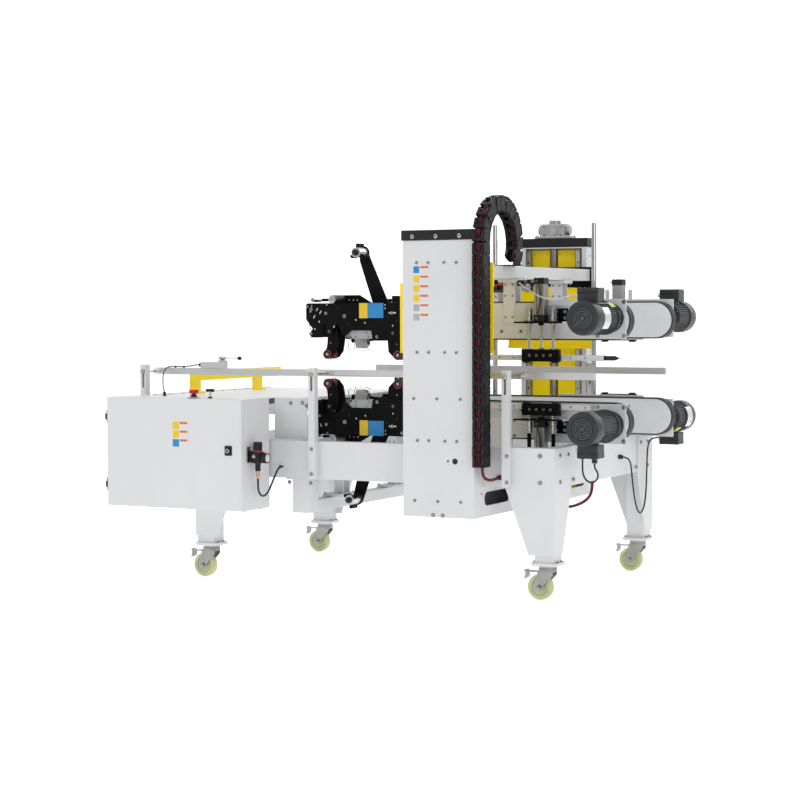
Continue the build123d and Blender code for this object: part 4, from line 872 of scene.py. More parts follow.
def link(k, at, i):
    """One link: at(s, n) gives (y, z) for a place s along the link and n towards its outer face."""
    inner = 1.6 if i % 2 else 0.0

    def plate(x0, x1, pts, key):
        n = len(pts)
        verts = []
        for x in (x0, x1):
            for s_, h in pts:
                yy, zz = at(s_, h)
                verts.append((x, yy, zz))
        faces = [(j, (j + 1) % n, n + (j + 1) % n, n + j) for j in range(n)]
        faces += [tuple(reversed(range(n))), tuple(n + j for j in range(n))]
        k.add(verts, [tuple(reversed(f)) for f in faces], key)

    hh = CHH - 1.0
    outline = [(0.3, -hh + 1.5), (1.8, -hh), (LINK - 9, -hh), (LINK - 5, -hh + 2), (LINK - 2.5, -hh + 7),
               (LINK - 0.6, 0), (LINK - 2.5, hh - 7), (LINK - 5, hh - 2), (LINK - 9, hh), (1.8, hh), (0.3, hh - 1.5)]
    for sx in (0, 1):
        x0 = CHX0 + 1.2 + inner if sx == 0 else CHX1 - 1.2 - inner - 4.0
        plate(x0, x0 + 4.0, outline, "chain")
        # sunk panel frame, stop lug and hinge boss on the outside face
        xo = x0 - 0.7 if sx == 0 else x0 + 4.0
        for fr in ([(6, -hh + 4), (LINK - 12, -hh + 4), (LINK - 12, -hh + 6.5), (6, -hh + 6.5)],
                   [(6, hh - 6.5), (LINK - 12, hh - 6.5), (LINK - 12, hh - 4), (6, hh - 4)],
                   [(LINK - 14.5, -hh + 4), (LINK - 12, -hh + 4), (LINK - 12, hh - 4), (LINK - 14.5, hh - 4)]):
            plate(xo, xo + 0.7, fr, "chain")
        for cs, rr in ((3.5, 8.0),):
            boss = [(cs + rr * math.cos(2 * math.pi * j / 18), rr * math.sin(2 * math.pi * j / 18)) for j in range(18)]
            plate(xo - (0.4 if sx == 0 else 0), xo + (0.7 if sx == 0 else 1.1), boss, "chain")
            pin = [(cs + 3 * math.cos(2 * math.pi * j / 12), 3 * math.sin(2 * math.pi * j / 12)) for j in range(12)]
            plate(xo - (0.8 if sx == 0 else 0), xo + (0.7 if sx == 0 else 1.5), pin, "gloss")
    # cross bars: the broad one over the joint and a thin bright-edged lip beside the window
    for h0, h1, out in ((CHH - 4.2, CHH, 1), (-CHH, -CHH + 4.2, -1)):
        plate(CHX0 + 1.6, CHX1 - 1.6, [(-8, h0), (11, h0), (11, h1), (-8, h1)], "chain")
        for xa, xb in ((CHX0 + 1.2, CHX0 + 14.0), (CHX1 - 14.0, CHX1 - 1.2)):
            plate(xa, xb, [(-7, h0 + 0.3), (LINK - 7, h0 + 0.3), (LINK - 7, h1 - 0.4), (-7, h1 - 0.4)], "chain")
            plate(xa + 3.2, xb - 3.2, [(14, h1 - 0.5 if out > 0 else h0 - 0.1), (26, h1 - 0.5 if out > 0 else h0 - 0.1),
                                       (26, h1 - 0.0 if out > 0 else h0 + 0.5), (14, h1 - 0.0 if out > 0 else h0 + 0.5)],
                  "gloss")


def chain_path_fixed(s):
    return (-608.5, 521.3 + s), (0.0, 1.0), (-1.0, 0.0)


ARC = math.pi * 156.0
ARC2 = math.radians(33) * 120.0


def chain_path_loop(s):
    """Centre, direction and outward normal of the loop at s."""
    if s < ARC:
        t = math.pi - s / 156.0
        c = (-452.5 + 156 * math.cos(t), 1397 + 156 * math.sin(t))
    else:
        t = -(s - ARC) / 120.0
        c = (-416.5 + 120 * math.cos(t), 1397 + 120 * math.sin(t))
    return c, (math.sin(t), -math.cos(t)), (math.cos(t), math.sin(t))


def build_chain(name, path, total, body=None, blend=None, replaces=()):
    k = Kit()
    n = round(total / LINK)
    step = total / n
    for i in range(n):
        s0 = i * step
        (c0, d, nn) = path(s0 + step / 2)

        def at(s_, h, c0=c0, d=d, nn=nn):
            u_ = (s_ - LINK / 2) * step / LINK
            u_ = max(-step / 2 - 3.5, min(step / 2 + 2.5, u_))
            # keep both ends of the whole run square
            if i == 0:
                u_ = max(u_, -step / 2)
            if i == n - 1:
                u_ = min(u_, step / 2)
            return (c0[0] + d[0] * u_ + nn[0] * h, c0[1] + d[1] * u_ + nn[1] * h)
        link(k, at, i)
    # the leads inside
    for x, h, r, key in ((595.0, 12.0, 5.2, "burgundy"), (606.5, 14.0, 5.6, "burgundy"), (617.0, 10.0, 3.4, "cable"),
                         (625.0, 13.0, 4.2, "burgundy"), (598.0, -8.0, 4.0, "cable"), (611.0, -12.0, 5.0, "burgundy"),
                         (622.0, -10.0, 4.4, "cable")):
        pts = []
        m = max(12, int(total / 16))
        for j in range(m + 1):
            s_ = 2 + (total - 4) * j / m
            c, d, nn = path(s_)
            w = 1.6 * math.sin(s_ * 0.021 + x)
            pts.append(Vector((x + w, c[0] + nn[0] * (h + w), c[1] + nn[1] * (h + w))))
        v, f = sweep(pts, r, 10)
        k.add(v, f, key)
    return k.make(name, body, "black_plastic", replaces, blend)


build_chain("chain_fixed_links", chain_path_fixed, 874.9, "root", replaces=("cable_chain_fixed",))
build_chain("chain_loop_links", chain_path_loop, ARC + ARC2 - 0.5, replaces=("cable_chain_loop",),
            blend=("root", "lift", P(600, -608, 1397), P(600, -320, 1397)))
k = Kit()
for z0 in (560, 1240):
    k.box(578.2, 583.2, -632, -585, z0, z0 + 40, "zinc", 0.8)
    for z in (z0 + 9, z0 + 31):
        k.bolt("x", 1, -570, z, 578, 4, 3, "hex", "zinc", False)
    k.box(578.2, 581, -586, -556, z0, z0 + 40, "zinc", 0.5)
k.make("chain_brackets", "root", "zinc")


# ------------------------------------------------------------ motors
def motor_details(plate=True, far=False):
    k = Kit()
    x, z = 1015.5, 1089.5
    zm = z + 11.5
    e = 26.0 if far else 0.0
    yb = -426.0 if far else -476.0
    for bx_ in (x - 58, x + 54):
        for bz_ in (z - 60, z + 75):
            k.bolt("y", -1, bx_, bz_, -272, 6, 5, "hex", "zinc", True)
    # gear case: bosses, ribs and a bolted joint
    for y0 in (-287, -302, -317):
        k.ring("y", x, zm, 53.5, 57.5, y0, y0 + 5, "motor", 48, 1.0)
    k.ring("y", x, zm, 53.5, 63.5, -340, -331, "motor", 56, 1.6)
    for j in range(8):
        a = math.pi * (2 * j + 1) / 8
        k.bolt("y", 1, x + 59.6 * math.cos(a), zm + 59.6 * math.sin(a), -331, 3.4, 4, "socket", "zinc", False)
    # cooling fins round the stator, none under the terminal box
    n = 44
    for j in range(n):
        a = 2 * math.pi * j / n
        if abs(math.atan2(math.cos(a), math.sin(a))) < math.radians(29):
            continue
        ca, sa = math.cos(a), math.sin(a)
        pts = []
        for r, w in ((59, 1.5), (65.4, 0.85), (65.4, -0.85), (59, -1.5)):
            pts.append((r * ca - w * sa, r * sa + w * ca))
        verts = [(x + p, yy, zm + q) for yy in (-342, -500 + e) for p, q in pts]
        faces = [(0, 1, 5, 4), (1, 2, 6, 5), (2, 3, 7, 6), (3, 0, 4, 7), (3, 2, 1, 0), (4, 5, 6, 7)]
        k.add(verts, faces, "motor")
    k.ring("y", x, zm, 59, 66.4, -346, -340, "motor", 56, 1.2)
    # fan cowl: rolled rim, then a dished end with rings in four quarters over a near-black disc, painted shade of the
    # recess behind the grille
    k.lathe("y", x, zm, [(-503 + e, 62), (-503.4 + e, 66.4), (-506 + e, 66.6), (-560 + e, 66.6), (-565 + e, 65.2),
                         (-568.6 + e, 61.5), (-569.2 + e, 58.5), (-567.2 + e, 57.5)], "motor", 64)
    k.lathe("y", x, zm, [(-567.25 + e, 57.6), (-567.5 + e, 57.4)], "recess_shade", 64)
    k.ring("y", x, zm, 46.0, 58.6, -567.0 + e, -568.6 + e, "motor", 64, 0.5)
    for r in (17.5, 27.5, 37.5):
        k.ring("y", x, zm, r - 2.3, r + 2.3, -567.3 + e, -568.9 + e, "grille", 56, 0.4)
    for a in (45, 135, 225, 315):
        c, s = math.cos(math.radians(a)), math.sin(math.radians(a))
        k.tube([(x + 6 * c, -568.0 + e, zm + 6 * s), (x + 46.5 * c, -568.0 + e, zm + 46.5 * s)], 1.7, "grille", 8)
    k.lathe("y", x, zm, [(-567.2 + e, 8.5), (-568.9 + e, 8.0), (-569.4 + e, 4)], "grille", 24)
    for a in (20, 110, 200, 290):
        c, s = math.cos(math.radians(a)), math.sin(math.radians(a))
        px_, pz_ = x + 66.4 * c, zm + 66.4 * s
        pts = [Vector((px_ - c * 1.0, -512 + e, pz_ - s * 1.0)), Vector((px_ + c * 2.4, -512 + e, pz_ + s * 2.4))]
        v, f = sweep(pts, 3.8, 12)
        k.add(v, f, "zinc")
    # plain plate and a plain patch on the stator's outer side
    for a0, a1, ya, yb_, key in ((-38, 38, -500, -438, "steel"), (40, 66, -396, -352, "patch_g")) if plate else ():
        m = 8
        verts, faces = [], []
        for j in range(m + 1):
            a = math.radians(a0 + (a1 - a0) * j / m)
            for r in (65.2, 67.1):
                for yy in (ya, yb_):
                    verts.append((x + r * math.cos(a), yy, zm + r * math.sin(a)))
        for j in range(m):
            b = 4 * j
            faces += [(b + 2, b + 3, b + 7, b + 6), (b, b + 4, b + 5, b + 1), (b, b + 2, b + 6, b + 4),
                      (b + 1, b + 5, b + 7, b + 3)]
        faces += [(0, 1, 3, 2), (4 * m, 4 * m + 2, 4 * m + 3, 4 * m + 1)]
        k.add(verts, faces, key)
    # terminal box: lid, screws, gland nut
    k.box(x - 46, x + 41, yb - 35, yb + 35, z + 112, z + 127, "motor", 2.0)
    k.box(x - 43, x + 38, yb - 32, yb + 32, z + 126.5, z + 128.5, "motor", 1.0)
    for dx in (-38, 33):
        for yy in (yb - 27, yb + 27):
            k.bolt("z", 1, x + dx, yy, z + 128, 3.2, 2.2, "dome", "zinc", False)
    k.box(x - 46.5, x + 41.5, yb - 35.5, yb + 35.5, z + 107.5, z + 110.5, "gloss", 0.6)
    k.lathe("x", yb, z + 103, [(x - 52, 11.0), (x - 57, 11.0)], "steel", 6)
    return k


# ------------------------------------------------------------ conveyors
def conveyor_details(far, lower):
    k = Kit()
    z = 1089.5
    # outer plate: hex bolts of the hanger and presser, joggled in two rows
    for x, zz in ((537, 1047), (622, 1047), (593, 1091), (593, 1153), (276, 1058), (276, 1122), (880, 1060),
                  (-120, 1062)):
        k.bolt("y", -1, x, zz, -264, 5.0, 3.4, "socket", "zinc", True)
    # inner plate is plain but for the bolt of the drive end
    k.bolt("y", 1, 903.5, 2 * MID_Z - 729, -216, 5.0, 3.4, "dome", "zinc", False)
    # axle ends: flat washer, circlip and a small centre
    for x in (-172.5,):
        k.ring("y", x, z, 9.6, 15.5, -264, -265.6, "steel", 30, 0.3)
        k.ring("y", x, z, 5.0, 9.2, -274.8, -275.6, "steel", 28, 0.2)
    # take-up slot with its screw, at the infeed end
    for s_, y in ((-1, -264),):
        k.box(-236, -198, y - 2.2, y, z - 9, z - 6.5, "zinc", 0.5)
        k.box(-236, -198, y - 2.2, y, z + 6.5, z + 9, "zinc", 0.5)
        k.tube([(-238, y - 5.0, z), (-190, y - 5.0, z)], 2.6, "screw", 10)
        k.lathe("x", y - 5.0, z, [(-210, 5.0), (-214.5, 5.0)], "zinc", 6)
    return k


def hanger_details():
    k = Kit()
    for x0, x1 in ((543, 603), (243, 303)):
        for x in (x0 - 8, x1 + 8):
            for y in (-272, -208):
                k.bolt("z", -1, x, y, 1245, 5, 4, "hex", "zinc", True)
                k.cyl("z", x, y, 3.6, 1258, 1262, "zinc", 14)
        for y, s in ((-270, -1), (-210, 1)):
            for z in (1236, 1190, 1104):
                for x in (x0 + 14, x1 - 14):
                    k.bolt("y", s, x, z, y, 4.6, 3.4, "hex", "zinc", False)
    return k


def pedestal_details():
    k = Kit()
    zb = 2 * MID_Z
    for x0, x1, zt, xs in ((470, 566, 439, (488, 548)), (-282, -196, 345, (-234, -210))):
        for x in (x0 + 8, x1 - 8):
            for y in (-296, -184):
                k.bolt("z", -1, x, y, zb - zt - 13, 4.6, 4, "hex", "zinc", True)
        for y, s in ((-270, -1), (-210, 1)):
            for z in (1120, 1230, 1300):
                for x in xs:
                    k.bolt("y", s, x, z, y, 4.4, 3.2, "hex", "zinc", False)
    return k


def presser_details(px, top):
    """Cylinder, plate and sleeves, fixed to the conveyor's side."""
    k = Kit()
    cyy = -304.0
    # grooves of the square barrel as thin near-black strips, painted shade of the grooves, and the caps' screws
    for dx in (-9.5, 9.5):
        k.box(px + dx - 1.3, px + dx + 1.3, -326.0, -325.2, 1115, top - 25, "recess_shade", 0.1)
    for yy in (-313.5, -294.5):
        k.box(px - 22.0, px - 21.2, yy - 1.3, yy + 1.3, 1115, top - 25, "recess_shade", 0.1)
        k.box(px + 21.2, px + 22.0, yy - 1.3, yy + 1.3, 1115, top - 25, "recess_shade", 0.1)
    for dx in (-16.5, 16.5):
        for dy in (-16.5, 16.5):
            k.bolt("z", 1, px + dx, cyy + dy, top, 3.4, 2.4, "socket", "zinc", False)
    k.lathe("z", px, cyy, [(top - 0.2, 10), (top + 1.2, 9)], "blackplastic", 28)
    # speed control and the hose that runs down the cylinder's outer side to its lower port
    k.lathe("x", cyy - 8, top - 12, [(px - 23.0, 6.0), (px - 29, 6.0)], "steel", 6)
    k.cyl("x", cyy - 8, top - 12, 4.4, px - 29, px - 36, "steel", 18, 0.8)
    k.cyl("x", cyy - 8, top - 12, 3.0, px - 36, px - 41, "zinc", 16, 0.6)
    k.lathe("y", px - 8, top - 12, [(-327.0, 5.5), (-332, 5.5)], "brass", 6)
    k.tube([(px - 8, -330, top - 12), (px + 4, -338, top - 22), (px + 12, -339, (top + 1100) / 2),
            (px + 6, -339, 1136), (px - 8, -334, 1101)], 3.0, "cable", 10, 3)
    k.lathe("y", px - 8, 1101, [(-327.0, 6.0), (-331, 6.0)], "steel", 6)
    for s in (-1, 1):
        k.ring("z", px + s * 52.5, cyy, 9.2, 15.6, 1133, 1137.6, "steel", 28, 0.8)
        k.ring("z", px + s * 52.5, cyy, 9.0, 17.5, 1087, 1090.5, "zinc", 28, 0.8)
        k.ring("z", px + s * 52.5, cyy, 9.0, 15.5, 1074, 1080, "steel", 28, 0.8)
        for dx, dy in ((-14.4, -14.4), (14.4, 14.4), (-14.4, 14.4), (14.4, -14.4)):
            k.bolt("z", 1, px + s * 52.5 + dx, cyy + dy, 1087, 2.8, 2.2, "socket", "zinc", False)
    for x in (px + 52, px + 88):
        for z in (1100, 1126):
            k.bolt("y", -1, x, z, -270, 4.2, 3.0, "socket", "zinc", True)
    return k


def block_details(px, dz, x1):
    """The pressed block with its bar."""
    k = Kit()
    for dx in (-45.75, -15.25, 15.25, 45.75):
        k.bolt("y", -1, px + dx, 952 + dz, -316, 5.6, 4.0, "socket", "zinc", False)
    for s in (-1, 1):
        k.ring("z", px + s * 52.5, -304, 8.6, 13, 976 + dz, 980 + dz, "steel", 24, 0.8)
    k.lathe("z", px, -304, [(976 + dz, 11), (982 + dz, 11)], "zinc", 6)
    # end stops under the block
    for dx in (-62, 62):
        k.box(px + dx - 12, px + dx + 12, -315, -292, 921 + dz, 928 + dz, "blackplastic", 1.2)
    for x in range(int(px - 250), int(x1) - 10, 62):
        if abs(x - px) > 88:
            k.bolt("y", -1, x, 942 + dz, -290, 4.0, 2.2, "dome", "zinc", False)
    return k


# ------------------------------------------------------------ tape heads
def spring(k, p0, p1, r, wire, turns, key="steel"):
    a, b = Vector(p0), Vector(p1)
    d = (b - a)
    n = d.normalized()
    u_ = n.orthogonal().normalized()
    w = n.cross(u_)
    pts = []
    m = turns * 12
    for j in range(m + 1):
        t = j / m
        th = 2 * math.pi * turns * t
        pts.append(a + d * t + (u_ * math.cos(th) + w * math.sin(th)) * r)
    v, f = sweep(pts, wire, 6)
    k.add(v, f, key)


def head_details(hub, lower):
    k = Kit()
    yo = -362.0
    # holes that let the light behind show, as pale discs of painted light, and dark ones, as glossy black discs in
    # black rings that are painted shade
    for x, z, r in ((-261, 1087, 3.6), (-282, 1056, 3.4), (-298, 1035, 3.2), (-85, 1094, 3.4), (-42, 1082, 3.2),
                    (88, 1070, 3.2), (-297, 1154, 2.6), (-224, 1157, 2.6), (53, 1156, 2.6), (53, 1142, 2.6)):
        k.lathe("y", x, z, [(yo - 0.1, r), (yo - 0.25, r - 0.1)], "plate", 18)
    for x, z, r in ((-306, 1108, 4.2), (-288, 1074, 4.0), (-250, 1120, 4.2), (-214, 1142, 4.6), (-176, 1146, 4.2),
                    (-146, 1060, 4.0), (-120, 1078, 4.6), (-12, 1066, 4.0), (62, 1110, 4.6), (106, 1092, 4.6),
                    (134, 1064, 4.2), (142, 1030, 3.8)):
        k.ring("y", x, z, r - 0.9, r + 0.8, yo - 0.5, yo + 0.3, "black", 18, 0.2)
        k.lathe("y", x, z, [(yo - 0.1, r), (yo - 0.25, r - 0.1)], "gloss", 18)
    for x, z, r in ((-300, 1140, 5.2), (-303, 1036, 4.6), (-60, 1140, 0), (20, 1150, 0), (130, 1150, 4.6),
                    (14, 1024, 4.6), (-140, 1110, 5.6), (-318, 1150, 3.6), (144, 1018, 3.6), (144, 1156, 3.6)):
        if r:
            k.bolt("y", -1, x, z, yo, r, 3.2, "socket", "zinc", True)
    # long slot with its slide screw; the slot is a pale strip, painted light seen through it
    k.bolt("y", -1, -229, 1122, yo, 4.6, 3, "hex", "zinc", True)
    k.box(70, 104, yo - 0.4, yo, 1120, 1126, "plate", 0.1)
    k.bolt("y", -1, 84, 1123, yo - 0.4, 4.6, 3, "hex", "zinc", True)
    # plain coloured patches
    k.box(-69, -29, yo - 0.7, yo, 1101, 1164, "patch_y", 0.2)
    k.box(-27, 45, yo - 0.7, yo, 1102, 1164, "patch_b", 0.2)
    for x in (-162, -142, -123):
        k.lathe("y", x, 1177, [(-280.2, 3.0), (-280.4, 2.9)], "plate", 16)
    # short slots cut at the infeed corner, as pale strips of painted light seen through them
    for x, z, a, ln in ((-301, 1133, 60, 8), (-285, 1108, 60, 8), (-271, 1138, 60, 7), (-255, 1126, 60, 8)):
        c_, s_ = math.cos(math.radians(a)), math.sin(math.radians(a))
        k.prism("y", [(x - ln * c_ - 2 * s_, z - ln * s_ + 2 * c_), (x - ln * c_ + 2 * s_, z - ln * s_ - 2 * c_),
                      (x + ln * c_ + 2 * s_, z + ln * s_ - 2 * c_), (x + ln * c_ - 2 * s_, z + ln * s_ + 2 * c_)],
                yo - 0.3, yo - 0.05, "plate")
    # knife: toothed blade in its holder, with a bent wire guard
    teeth = [(-104, 1000), (-104, 981)]
    for j in range(14):
        teeth += [(-102 + j * 4.0, 973), (-100 + j * 4.0, 979)]
    teeth += [(-46, 981), (-46, 1000)]
    k.prism("y", teeth, -326, -324.6, "steel")
    k.tube([(-110, -346, 1022), (-128, -346, 1004), (-132, -346, 972), (-96, -346, 962), (-52, -346, 972)], 1.6,
           "chrome", 8, 2)
    k.tube([(-110, -296, 1022), (-128, -296, 1004), (-132, -296, 972), (-96, -296, 962), (-52, -296, 972)], 1.6,
           "chrome", 8, 2)
    for x, z in ((-92, 1042), (-40, 1042), (-92, 1024), (-30, 1024)):
        k.bolt("y", -1, x, z, -354, 3.4, 2.4, "socket", "zinc", False)
    k.ring("y", -122 + 60, 1005, 2.0, 5.6, -341, -338, "zinc", 20)
    # tension spring and tie rods between the plates
    spring(k, (-176, -318, 1128), (-40, -318, 1118), 6.0, 1.2, 26)
    k.cyl("y", -178, 1128, 3.4, -357, -280, "steel", 16)
    k.cyl("y", -36, 1118, 3.4, -357, -280, "steel", 16)
    k.cyl("y", 70, 1090, 12, -356, -281, "roller_rubber", 28, 1.0)
    k.cyl("y", 40, 1050, 9, -356, -281, "steel", 24, 1.0)
    k.cyl("y", -120, 1090, 11, -352, -284, "steel", 24, 1.0)
    k.cyl("y", -256, 1128, 13, -356, -281, "steel", 28, 1.0)
    k.cyl("y", -280, 1092, 10, -356, -281, "roller_rubber", 24, 1.0)
    for y in (-350, -336, -322, -308, -294):
        k.ring("y", -256, 1128, 12.6, 13.9, y - 1, y + 1, "steel", 28, 0.3)
    # pivot caps with circlips
    for x, z in ((-212, 1046), (90, 1040)):
        k.bolt("y", -1, x, z, yo - 3.2, 4.4, 2.4, "socket", "zinc", False)
    # roller on the raised corner: end caps; thin rod's brackets
    k.lathe("y", -195, 1179, [(-368, 17.2), (-370.5, 16), (-371, 8)], "steel", 30)
    k.bolt("y", -1, -195, 1179, -370.8, 4.6, 2.6, "hex", "zinc", False)
    k.bolt("y", -1, -300, 1178, -350, 3.8, 2.6, "hex", "zinc", True)
    # zinc corner bracket with a bent wire at the head's left end
    k.box(-331, -325.2, -352, -292, 1100, 1150, "zinc", 0.6)
    k.box(-331, -308, -352, -292, 1150, 1153, "zinc", 0.6)
    for y in (-340, -304):
        k.bolt("x", -1, y, 1126, -331, 3.6, 2.6, "hex", "zinc", True)
    k.tube([(-329, -322, 1101), (-334, -322, 1080), (-330, -322, 1058), (-316, -322, 1046)], 1.8, "chrome", 8, 2)
    # mounting arms: bolts on the conveyor's side
    for x in (-188, 22, 122):
        k.bolt("y", -1, x, 1112, -280.0, 4.2, 3.0, "hex", "zinc", True)
    # tape bar: adjusting slot and screws; hub washer and knob
    bx_, bz_ = hub
    k.bolt("y", -1, 8, 1147, -285, 5, 3.4, "hex", "zinc", True)
    k.bolt("y", -1, -28, 1147, -285, 5, 3.4, "hex", "zinc", True)
    k.lathe("y", bx_, bz_, [(-362.5, 11), (-365, 13), (-369, 13), (-371, 10.5), (-371.4, 4)], "blackplastic", 24)
    return k


def arm_details(piv, rol, front):
    k = Kit()
    for y, s in ((-351, -1), (-287, 1)):
        x, z = rol
        k.bolt("y", s, x, z, y, 5.0, 3.0, "hex", "zinc", True)
        k.ring("y", piv[0], piv[1], 6.0, 10.0, y, y + s * 1.6, "black", 24, 0.3)
    x, z = rol
    k.ring("y", x, z, 13.5, 19.8, -350.8, -352.6, "padred", 36, 0.5)
    for y in (-338, -326, -312, -300):
        k.ring("y", x, z, 18.6, 19.9, y - 1.4, y + 1.4, "padred", 36, 0.5)
    xs = (piv[0] + rol[0]) / 2
    zs = (piv[1] + rol[1]) / 2
    k.cyl("y", xs + (8 if front else 4), zs, 4.2, -351, -287, "steel", 18)
    for y, s in ((-351, -1), (-287, 1)):
        k.bolt("y", s, xs + (8 if front else 4), zs, y, 3.6, 2.4, "dome", "zinc", False)
    return k


def hub_details(hub):
    k = Kit()
    x, z = hub
    k.ring("y", x, z, 7, 20, -362.4, -361, "steel", 30, 0.5)
    for a in (30, 150, 270):
        c, s = math.cos(math.radians(a)), math.sin(math.radians(a))
        k.bolt("y", -1, x + 14 * c, z + 14 * s, -361, 2.6, 1.6, "dome", "zinc", False)
    for a in (90, 210, 330):
        c, s = math.cos(math.radians(a)), math.sin(math.radians(a))
        for y in (-340, -323, -306):
            pts = [Vector((x + 36.8 * c - 5 * s, y, z + 36.8 * s + 5 * c)), Vector((x + 36.8 * c + 5 * s, y, z + 36.8 * s - 5 * c))]
            v, f = sweep(pts, 0.9, 6)
            k.add(v, f, "black")
    return k


for lower in (0, 1):
    for far in (0, 1):
        q = ("lower" if lower else "upper") + ("_far" if far else "_near")
        fn, flip = fix(lower, far)
        px = 820.0 if far else 729.0
        top = 1170.0 if far and lower else 1260.0
        hub = (-122.0, 2 * MID_Z - 341.0) if lower else (-85.0, 1374.0)
        k = Kit()
        k.extend(motor_details(lower == far, far), fn, flip)
        k.make(q + "_motor_details", q, "motor_paint")
        k = Kit()
        k.extend(conveyor_details(far, lower), fn, flip)
        k.extend(pedestal_details() if lower else hanger_details(), fn, flip)
        k.extend(presser_details(px, top), fn, flip)
        k.make(q + "_conveyor_details", q, "zinc")
        k = Kit()
        k.extend(head_details(hub, lower), fn, flip)
        k.make(q + "_head_details", q, "zinc")
        k = Kit()
        k.extend(block_details(px, (75 if far else 91 * lower), 940 if far or lower else 980), fn, flip)
        k.make(q + "_block_details", ("lower" if lower else "upper") + "_presser" if not far else q, "zinc")
        body = "lower" if lower else "upper"
        for nm, piv, rol, fr in (("front_arm", (-212, 1046), (-229, 950), 1), ("rear_arm", (90, 1040), (105, 948), 0)):
            k = Kit()
            k.extend(arm_details(piv, rol, fr), fn, flip)
            k.make(q + "_" + nm + "_details", q if far else body + "_" + nm, "zinc")
        k = Kit()
        k.extend(hub_details(hub), fn, flip)
        k.make(q + "_hub_details", q if far else body + "_hub", "bright_steel")

# ------------------------------------------------------------ frame fittings
k = Kit()
for s in (-1, 1):
    for x, z in ((826, 566), (826, 462), (681, 561), (683, 460)):
        k.bolt("y", s, x, z, s * 536, 6.5, 4.2, "hex", "zinc", True)
    for y, z in ((-477, 566), (-477, 463), (-343, 463), (-395, 566)):
        k.bolt("x", 1, -s * y, z, 886, 6.5, 4.2, "hex", "zinc", True)
for x, z, y in ((698, 564, -566), (697, 461, -566), (-187, 565, -560), (-188, 462, -560), (-329, 748, -484),
                (-273, 751, -484), (-253, 739, -484), (-310, 423, -530), (-208, 422, -530)):
    k.bolt("y", -1, x, z, y, 5.8, 3.8, "hex", "zinc", True)
for x in (-186, 596):
    for z in (564, 461):
        k.bolt("y", 1, x, z, 566 if x > 0 else 560, 5.8, 3.8, "hex", "zinc", True)
k.make("frame_bolts", "root", "zinc")
for side, sy in (("near", -1), ("far", 1)):
    for end, cx in (("left", -726.0), ("right", 838.0)):
        cy_ = sy * 486.0
        k = Kit()
        for y, s in ((cy_ - 24, -1), (cy_ + 24, 1)):
            k.ring("y", cx - 30, 50, 6.2, 11.5, y, y + s * 1.4, "zinc", 24, 0.3)
            k.lathe("y", cx - 30, 50, [(y + s * 1.4, 9.2), (y + s * 6.6, 9.2), (y + s * 7.4, 8.0)], "zinc", 6)
        k.make("caster_%s_%s_nuts" % (side, end), "fork_%s_%s" % (side, end), "zinc")

# door: plain patch, key, seam of the lid; regulator: dial, rings and fittings
k = Kit()
k.box(-737, -659, -760.7, -760.1, 569, 679, "patch", 0.15)
for j, key in enumerate(("patch_y", "patch_y", "patch_b")):
    z1 = 676 - 36 * j
    k.box(-734, -702, -760.9, -760.6, z1 - 31, z1, key, 0.1)
    k.box(-698, -662, -760.9, -760.6, z1 - 9, z1, "patch_o", 0.1)
    k.box(-698, -662, -760.85, -760.6, z1 - 31, z1 - 11, "white", 0.1)
k.ring("y", -461.5, 563, 5.0, 8.6, -769, -770.4, "steel", 28, 0.4)
# the keyhole is a thin near-black box, painted shade of the slot
k.box(-462.6, -460.4, -770.0, -769.0, 558, 568, "recess_shade", 0.1)
k.make("door_fittings", "box_door", "white_paint")
k = Kit()
gx = -320.0
k.ring("x", -687, 532, 17.0, 21.2, gx - 1.0, gx + 1.6, "gloss", 40, 0.6)
k.lathe("x", -687, 532, [(gx - 0.2, 17.1), (gx + 0.3, 17.0)], "gauge", 40)
k.box(gx + 0.3, gx + 0.8, -687.6, -686.4, 532, 545, "gloss", 0.1)
k.lathe("x", -687, 532, [(gx + 0.3, 2.4), (gx + 1.2, 1.8)], "redplastic", 20)
for z0, z1, r, key in ((556.5, 559.5, 20.6, "redplastic"), (506, 512, 13.2, "gloss"), (589, 597.6, 18.6, "gloss")):
    k.ring("z", -366, -687, r - 3, r, z0, z1, key, 36, 0.6)
for j in range(18):
    a = 2 * math.pi * j / 18
    c, s = math.cos(a), math.sin(a)
    k.tube([(-366 + 18.1 * c, -687 + 18.1 * s, 566), (-366 + 18.1 * c, -687 + 18.1 * s, 588)], 0.9, "gloss", 6)
k.lathe("y", -366, 540, [(-708, 7.5), (-716, 7.5)], "steel", 6)
k.cyl("y", -366, 540, 5.4, -716, -724, "steel", 20, 0.8)
k.lathe("z", -366, -687, [(449.2, 9.2), (456, 9.2)], "steel", 6)
k.make("regulator_fittings", "root", "black_plastic")

# gearbox: cover, ribs, screws, input shaft with its key
k = Kit()
for x in (372, 450):
    for y, s in ((540, -1), (604, 1)):
        for z in (1464, 1500):
            k.bolt("y", s, x, z, y, 4.4, 3.4, "socket", "zinc", False)
k.ring("y", 411, 1482, 14, 25, 540, 536.5, "alu", 40, 0.8)
k.lathe("y", 411, 1482, [(536.4, 13.6), (538.0, 13.0)], "steel", 30)
k.ring("z", 411, 572, 16, 24.5, 1525, 1528.5, "alu", 40, 0.8)
for a in range(0, 360, 60):
    c, s = math.cos(math.radians(a)), math.sin(math.radians(a))
    k.bolt("z", 1, 411 + 20.2 * c, 572 + 20.2 * s, 1527.8, 2.6, 2.0, "socket", "zinc", False)
for y in (556, 572, 588):
    k.box(352.5, 470.5, y - 1.6, y + 1.6, 1508.5, 1513, "alu", 0.6)
for x in (338, 490):
    for y in (542, 600):
        k.bolt("z", 1, x, y, 1457.0, 5.2, 4.0, "hex", "zinc", True)
k.make("gearbox_details", "root", "cast_alloy")


